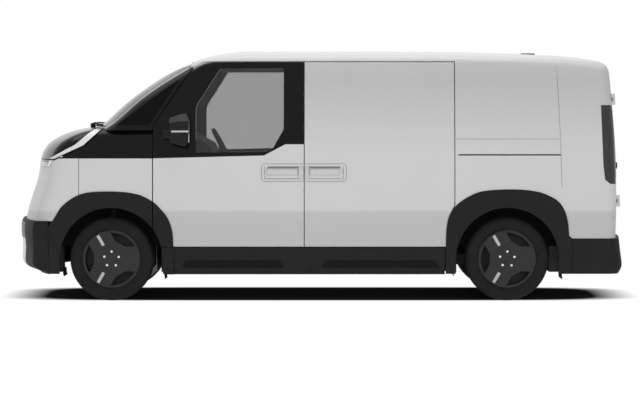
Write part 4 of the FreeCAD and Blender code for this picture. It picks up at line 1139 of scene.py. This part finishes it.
for name, part in handles.items():
    node, body = part["node"], part["body"]
    (high, low), line = handleLevels["bowl"], handleShape["line"]
    bar = levelStrip(part["bar"], handleLevels["bar"], node, handleShape["barThick"], (16, 6))
    softEdge(bar, handleShape["barEdge"], 3)
    block = levelStrip(part["block"], (high, low), node, handleShape["blockThick"], (6, 8))
    softEdge(block, handleShape["blockEdge"])
    bothSides(joined([bar, block], "handleBar_" + name), "handleBar_" + name, "handle", body)
    outer = max(part["bowl"], key=abs)
    way = 1 if outer > 0.0 else -1
    thin = handleShape["lineThick"]
    # painted shade: a wide strip under the bowl's top, thin lines along its foot and its outer end
    edges = [levelStrip(part["bowl"], (high, high - handleShape["shade"]), node, thin),
             levelStrip(part["bowl"], (low + line, low), node, thin),
             levelStrip((outer, outer - way * line), (high, low), node, thin, (2, 8))]
    bothSides(joined(edges, "handleBowlShade_" + name), "handleBowlShade_" + name, "shade", body)
    bothSides(handleShadeRing(part["ring"], way, node), "handleShadeRing_" + name, "shade", body)
print("handles made")

# dark strips on the rail groove's floor, partly the dark rail and partly painted shade in the
# groove, and the thin joint lines of the rear side panel

lineBed = {"thick": 0.0008, "lift": 0.0003}
lineStrips = {
    # partly the rail's own dark, partly painted shade deep in the groove
    "railGroove": {"upper": [(-1.048, 1.1095), (-1.817, 1.1095)],
                   "lower": [(-1.048, 1.1005), (-1.817, 1.1005)], "finish": "seal"},
    "panelJoint": {"upper": [(-1.028, 1.2265), (-1.813, 1.2265)],
                   "lower": [(-1.028, 1.2235), (-1.813, 1.2235)], "finish": "shade"},
    "quarterJoint": {"upper": [(-1.7915, 1.741), (-1.8135, 1.220), (-1.8235, 0.862)],
                     "lower": [(-1.7945, 1.741), (-1.8165, 1.220), (-1.8265, 0.862)],
                     "finish": "shade"},
}
for name, line in lineStrips.items():
    strip = layRibbon(name, line["upper"], line["lower"], "body_side_left",
                      lineBed["thick"], cells=(90, 2), lift=lineBed["lift"])
    bothSides(strip, name, line["finish"], "chassis")
print("joint lines laid")

# plates that close the wheel openings behind the flaps and the sill ends

shields = {"ahead": (1.952, 1.988), "behind": (1.172, 1.203), "rearAhead": (-1.035, -0.953),
           "rearBehind": (-1.815, -1.735)}
shieldShape = {"y": (0.655, 0.845), "z": (0.216, 0.410), "bevel": 0.004,
               "crown": ("y", 1, 0.012, -0.004)}
for name, reach in shields.items():
    plate = shapedBox("plate", reach, **shieldShape)
    bothSides(plate, "shield_" + name, "liner", "chassis")
print("shields made")

# wheel arch mouldings: smooth skins with an outer edge, a crease and a lip turned in

bodySide = {"halfWidth": 0.940, "creaseZ": 0.690, "radius": 5.1, "tuck": 0.077}
archShape = {"columns": 84, "thick": 0.003, "edge": 0.0088, "footZ": 0.207, "steps": 60,
             "rows": ((0.446, 0.0098), (0.3985, 0.0084), (0.3895, 0.002))}  # radius and proud


def sideY(z):  # half width of the body at a height
    rise = z - bodySide["creaseZ"]
    if rise < 0.0:
        return bodySide["halfWidth"] + rise * bodySide["tuck"]
    radius = bodySide["radius"]
    return bodySide["halfWidth"] - radius + math.sqrt(radius * radius - rise * rise)


def smoothLine(points, steps=8):  # rounds a broken line off through its points
    line = []
    for index in range(len(points) - 1):
        before, start = points[max(0, index - 1)], points[index]
        end, after = points[index + 1], points[min(len(points) - 1, index + 2)]
        for step in range(steps):
            t = step / steps
            line.append(tuple(
                0.5 * (2 * b + (c - a) * t + (2 * a - 5 * b + 4 * c - d) * t * t
                       + (3 * b - a - 3 * c + d) * t ** 3)
                for a, b, c, d in zip(before, start, end, after)))
    return line + [points[-1]]


def arcLine(centreX, radius, fromAngle, toAngle):  # with upright legs below 0 and 180 degrees
    line = []
    for step in range(archShape["steps"] + 1):
        turn = math.radians(fromAngle + (toAngle - fromAngle) * step / archShape["steps"])
        line.append((centreX + radius * math.cos(turn), axles["z"] + radius * math.sin(turn)))
    if fromAngle == 0.0:
        line.insert(0, (centreX + radius, archShape["footZ"]))
    if toAngle == 180.0:
        line.append((centreX - radius, archShape["footZ"]))
    return line


def clipped(line, keepFrom, keepTo):  # the part of a line whose x lies between two limits
    kept = [point for point in line if keepTo < point[0] < keepFrom]
    for limit, place in ((keepFrom, 0), (keepTo, len(kept) + 1)):
        for a, b in zip(line, line[1:]):
            if (a[0] - limit) * (b[0] - limit) < 0.0:
                share = (limit - a[0]) / (b[0] - a[0])
                kept.insert(place, (limit, a[1] + (b[1] - a[1]) * share))
                break
    return kept


def archSkin(name, centreX, outer, angles, limits):
    rows = [(outer, 0.0), (outer, archShape["edge"])]
    rows += [(arcLine(centreX, radius, *angles), proud) for radius, proud in archShape["rows"]]
    rows = [(clipped(line, *limits), proud) for line, proud in rows]
    freshStart()
    bpy.ops.mesh.primitive_grid_add(x_subdivisions=archShape["columns"],
                                    y_subdivisions=len(rows) - 1, size=1.0,
                                    location=(0.0, 0.0, 0.0))
    piece = grabbed(name)
    for vert in piece.data.vertices:
        line, proud = rows[int(round((vert.co.y + 0.5) * (len(rows) - 1)))]
        x, z = along(line, vert.co.x + 0.5)
        vert.co = (x, sideY(z) + proud, z)
    faceTo(piece, Vector((0, 1, 0)))
    apply(piece, "SOLIDIFY", thickness=archShape["thick"], offset=-1.0, use_even_offset=True)
    return piece


frontOuter = smoothLine([
    (2.0495, 0.207), (2.0495, 0.400), (2.0490, 0.5640), (2.020, 0.604), (1.9968, 0.642),
    (1.948, 0.716), (1.8800, 0.771), (1.8132, 0.806), (1.7440, 0.823), (1.6689, 0.8285),
    (1.590, 0.830), (1.505, 0.8270), (1.421, 0.817), (1.341, 0.796), (1.2549, 0.748),
    (1.205, 0.699), (1.158, 0.642), (1.131, 0.586), (1.1151, 0.527), (1.1095, 0.470),
    (1.1082, 0.412)])
rearOuter = smoothLine([
    (-0.9505, 0.207), (-0.9505, 0.400), (-0.953, 0.520), (-0.9620, 0.600), (-0.982, 0.662),
    (-1.021, 0.718), (-1.092, 0.774), (-1.181, 0.819), (-1.258, 0.836), (-1.343, 0.8430),
    (-1.435, 0.8455), (-1.528, 0.8430), (-1.612, 0.833), (-1.690, 0.814), (-1.782, 0.768),
    (-1.823, 0.724), (-1.852, 0.669), (-1.872, 0.590), (-1.880, 0.500), (-1.890, 0.474),
    (-1.9045, 0.455), (-1.9050, 0.400), (-1.9050, 0.207)])
archSkins = {  # axle, outer edge, the arcs' angles, the x limits and the body
    "archFrontBody": ("front", frontOuter, (0.0, 180.0), (2.2, 1.2667), "chassis"),
    "archFrontDoor": ("front", frontOuter, (1.0, 166.0), (1.2587, 0.9), "front_door_{}"),
    "archRear": ("rear", rearOuter, (0.0, 180.0), (-0.8, -2.2), "chassis"),
}
for name, (axle, outer, angles, limits, body) in archSkins.items():
    skin = archSkin(name, axles[axle], outer, angles, limits)
    bothSides(skin, name, "cladding", body, smooth=30.0)
print("arch mouldings made")

# bright strips down the edges of the windscreen, and the rear doors' handle

pillarStrip = {
    "section": [(-0.009, -0.010), (0.008, -0.008), (0.010, 0.004), (0.006, 0.013),
                (-0.006, 0.014)],
    "path": [(1.628, 0.818, 1.302), (1.5806, 0.806, 1.330), (1.5483, 0.804, 1.350),
             (1.4941, 0.800, 1.397), (1.4384, 0.795, 1.4485), (1.373, 0.789, 1.5056),
             (1.2996, 0.783, 1.562), (1.2566, 0.780, 1.5922), (1.2074, 0.777, 1.6253),
             (1.1219, 0.771, 1.6794), (1.04, 0.766, 1.7284), (0.997, 0.763, 1.7535)],
    "across": ("y", "z"), "bevel": 0.0012,
}
bothSides(pulledBar("pillarStrip", **pillarStrip), "pillarStrip", "trim", "chassis")

rearHandle = {"x": (-2.3355, -2.308), "y": (0.035, 0.175), "z": (0.985, 1.035),
              "bevel": 0.006, "crown": ("x", -1, 0.012, -0.007), "segments": 4}
settle(shapedBox("rearHandle", **rearHandle), "seal", "rear_door_left")
print("pillar strips and rear handle made")

print("all stages done")
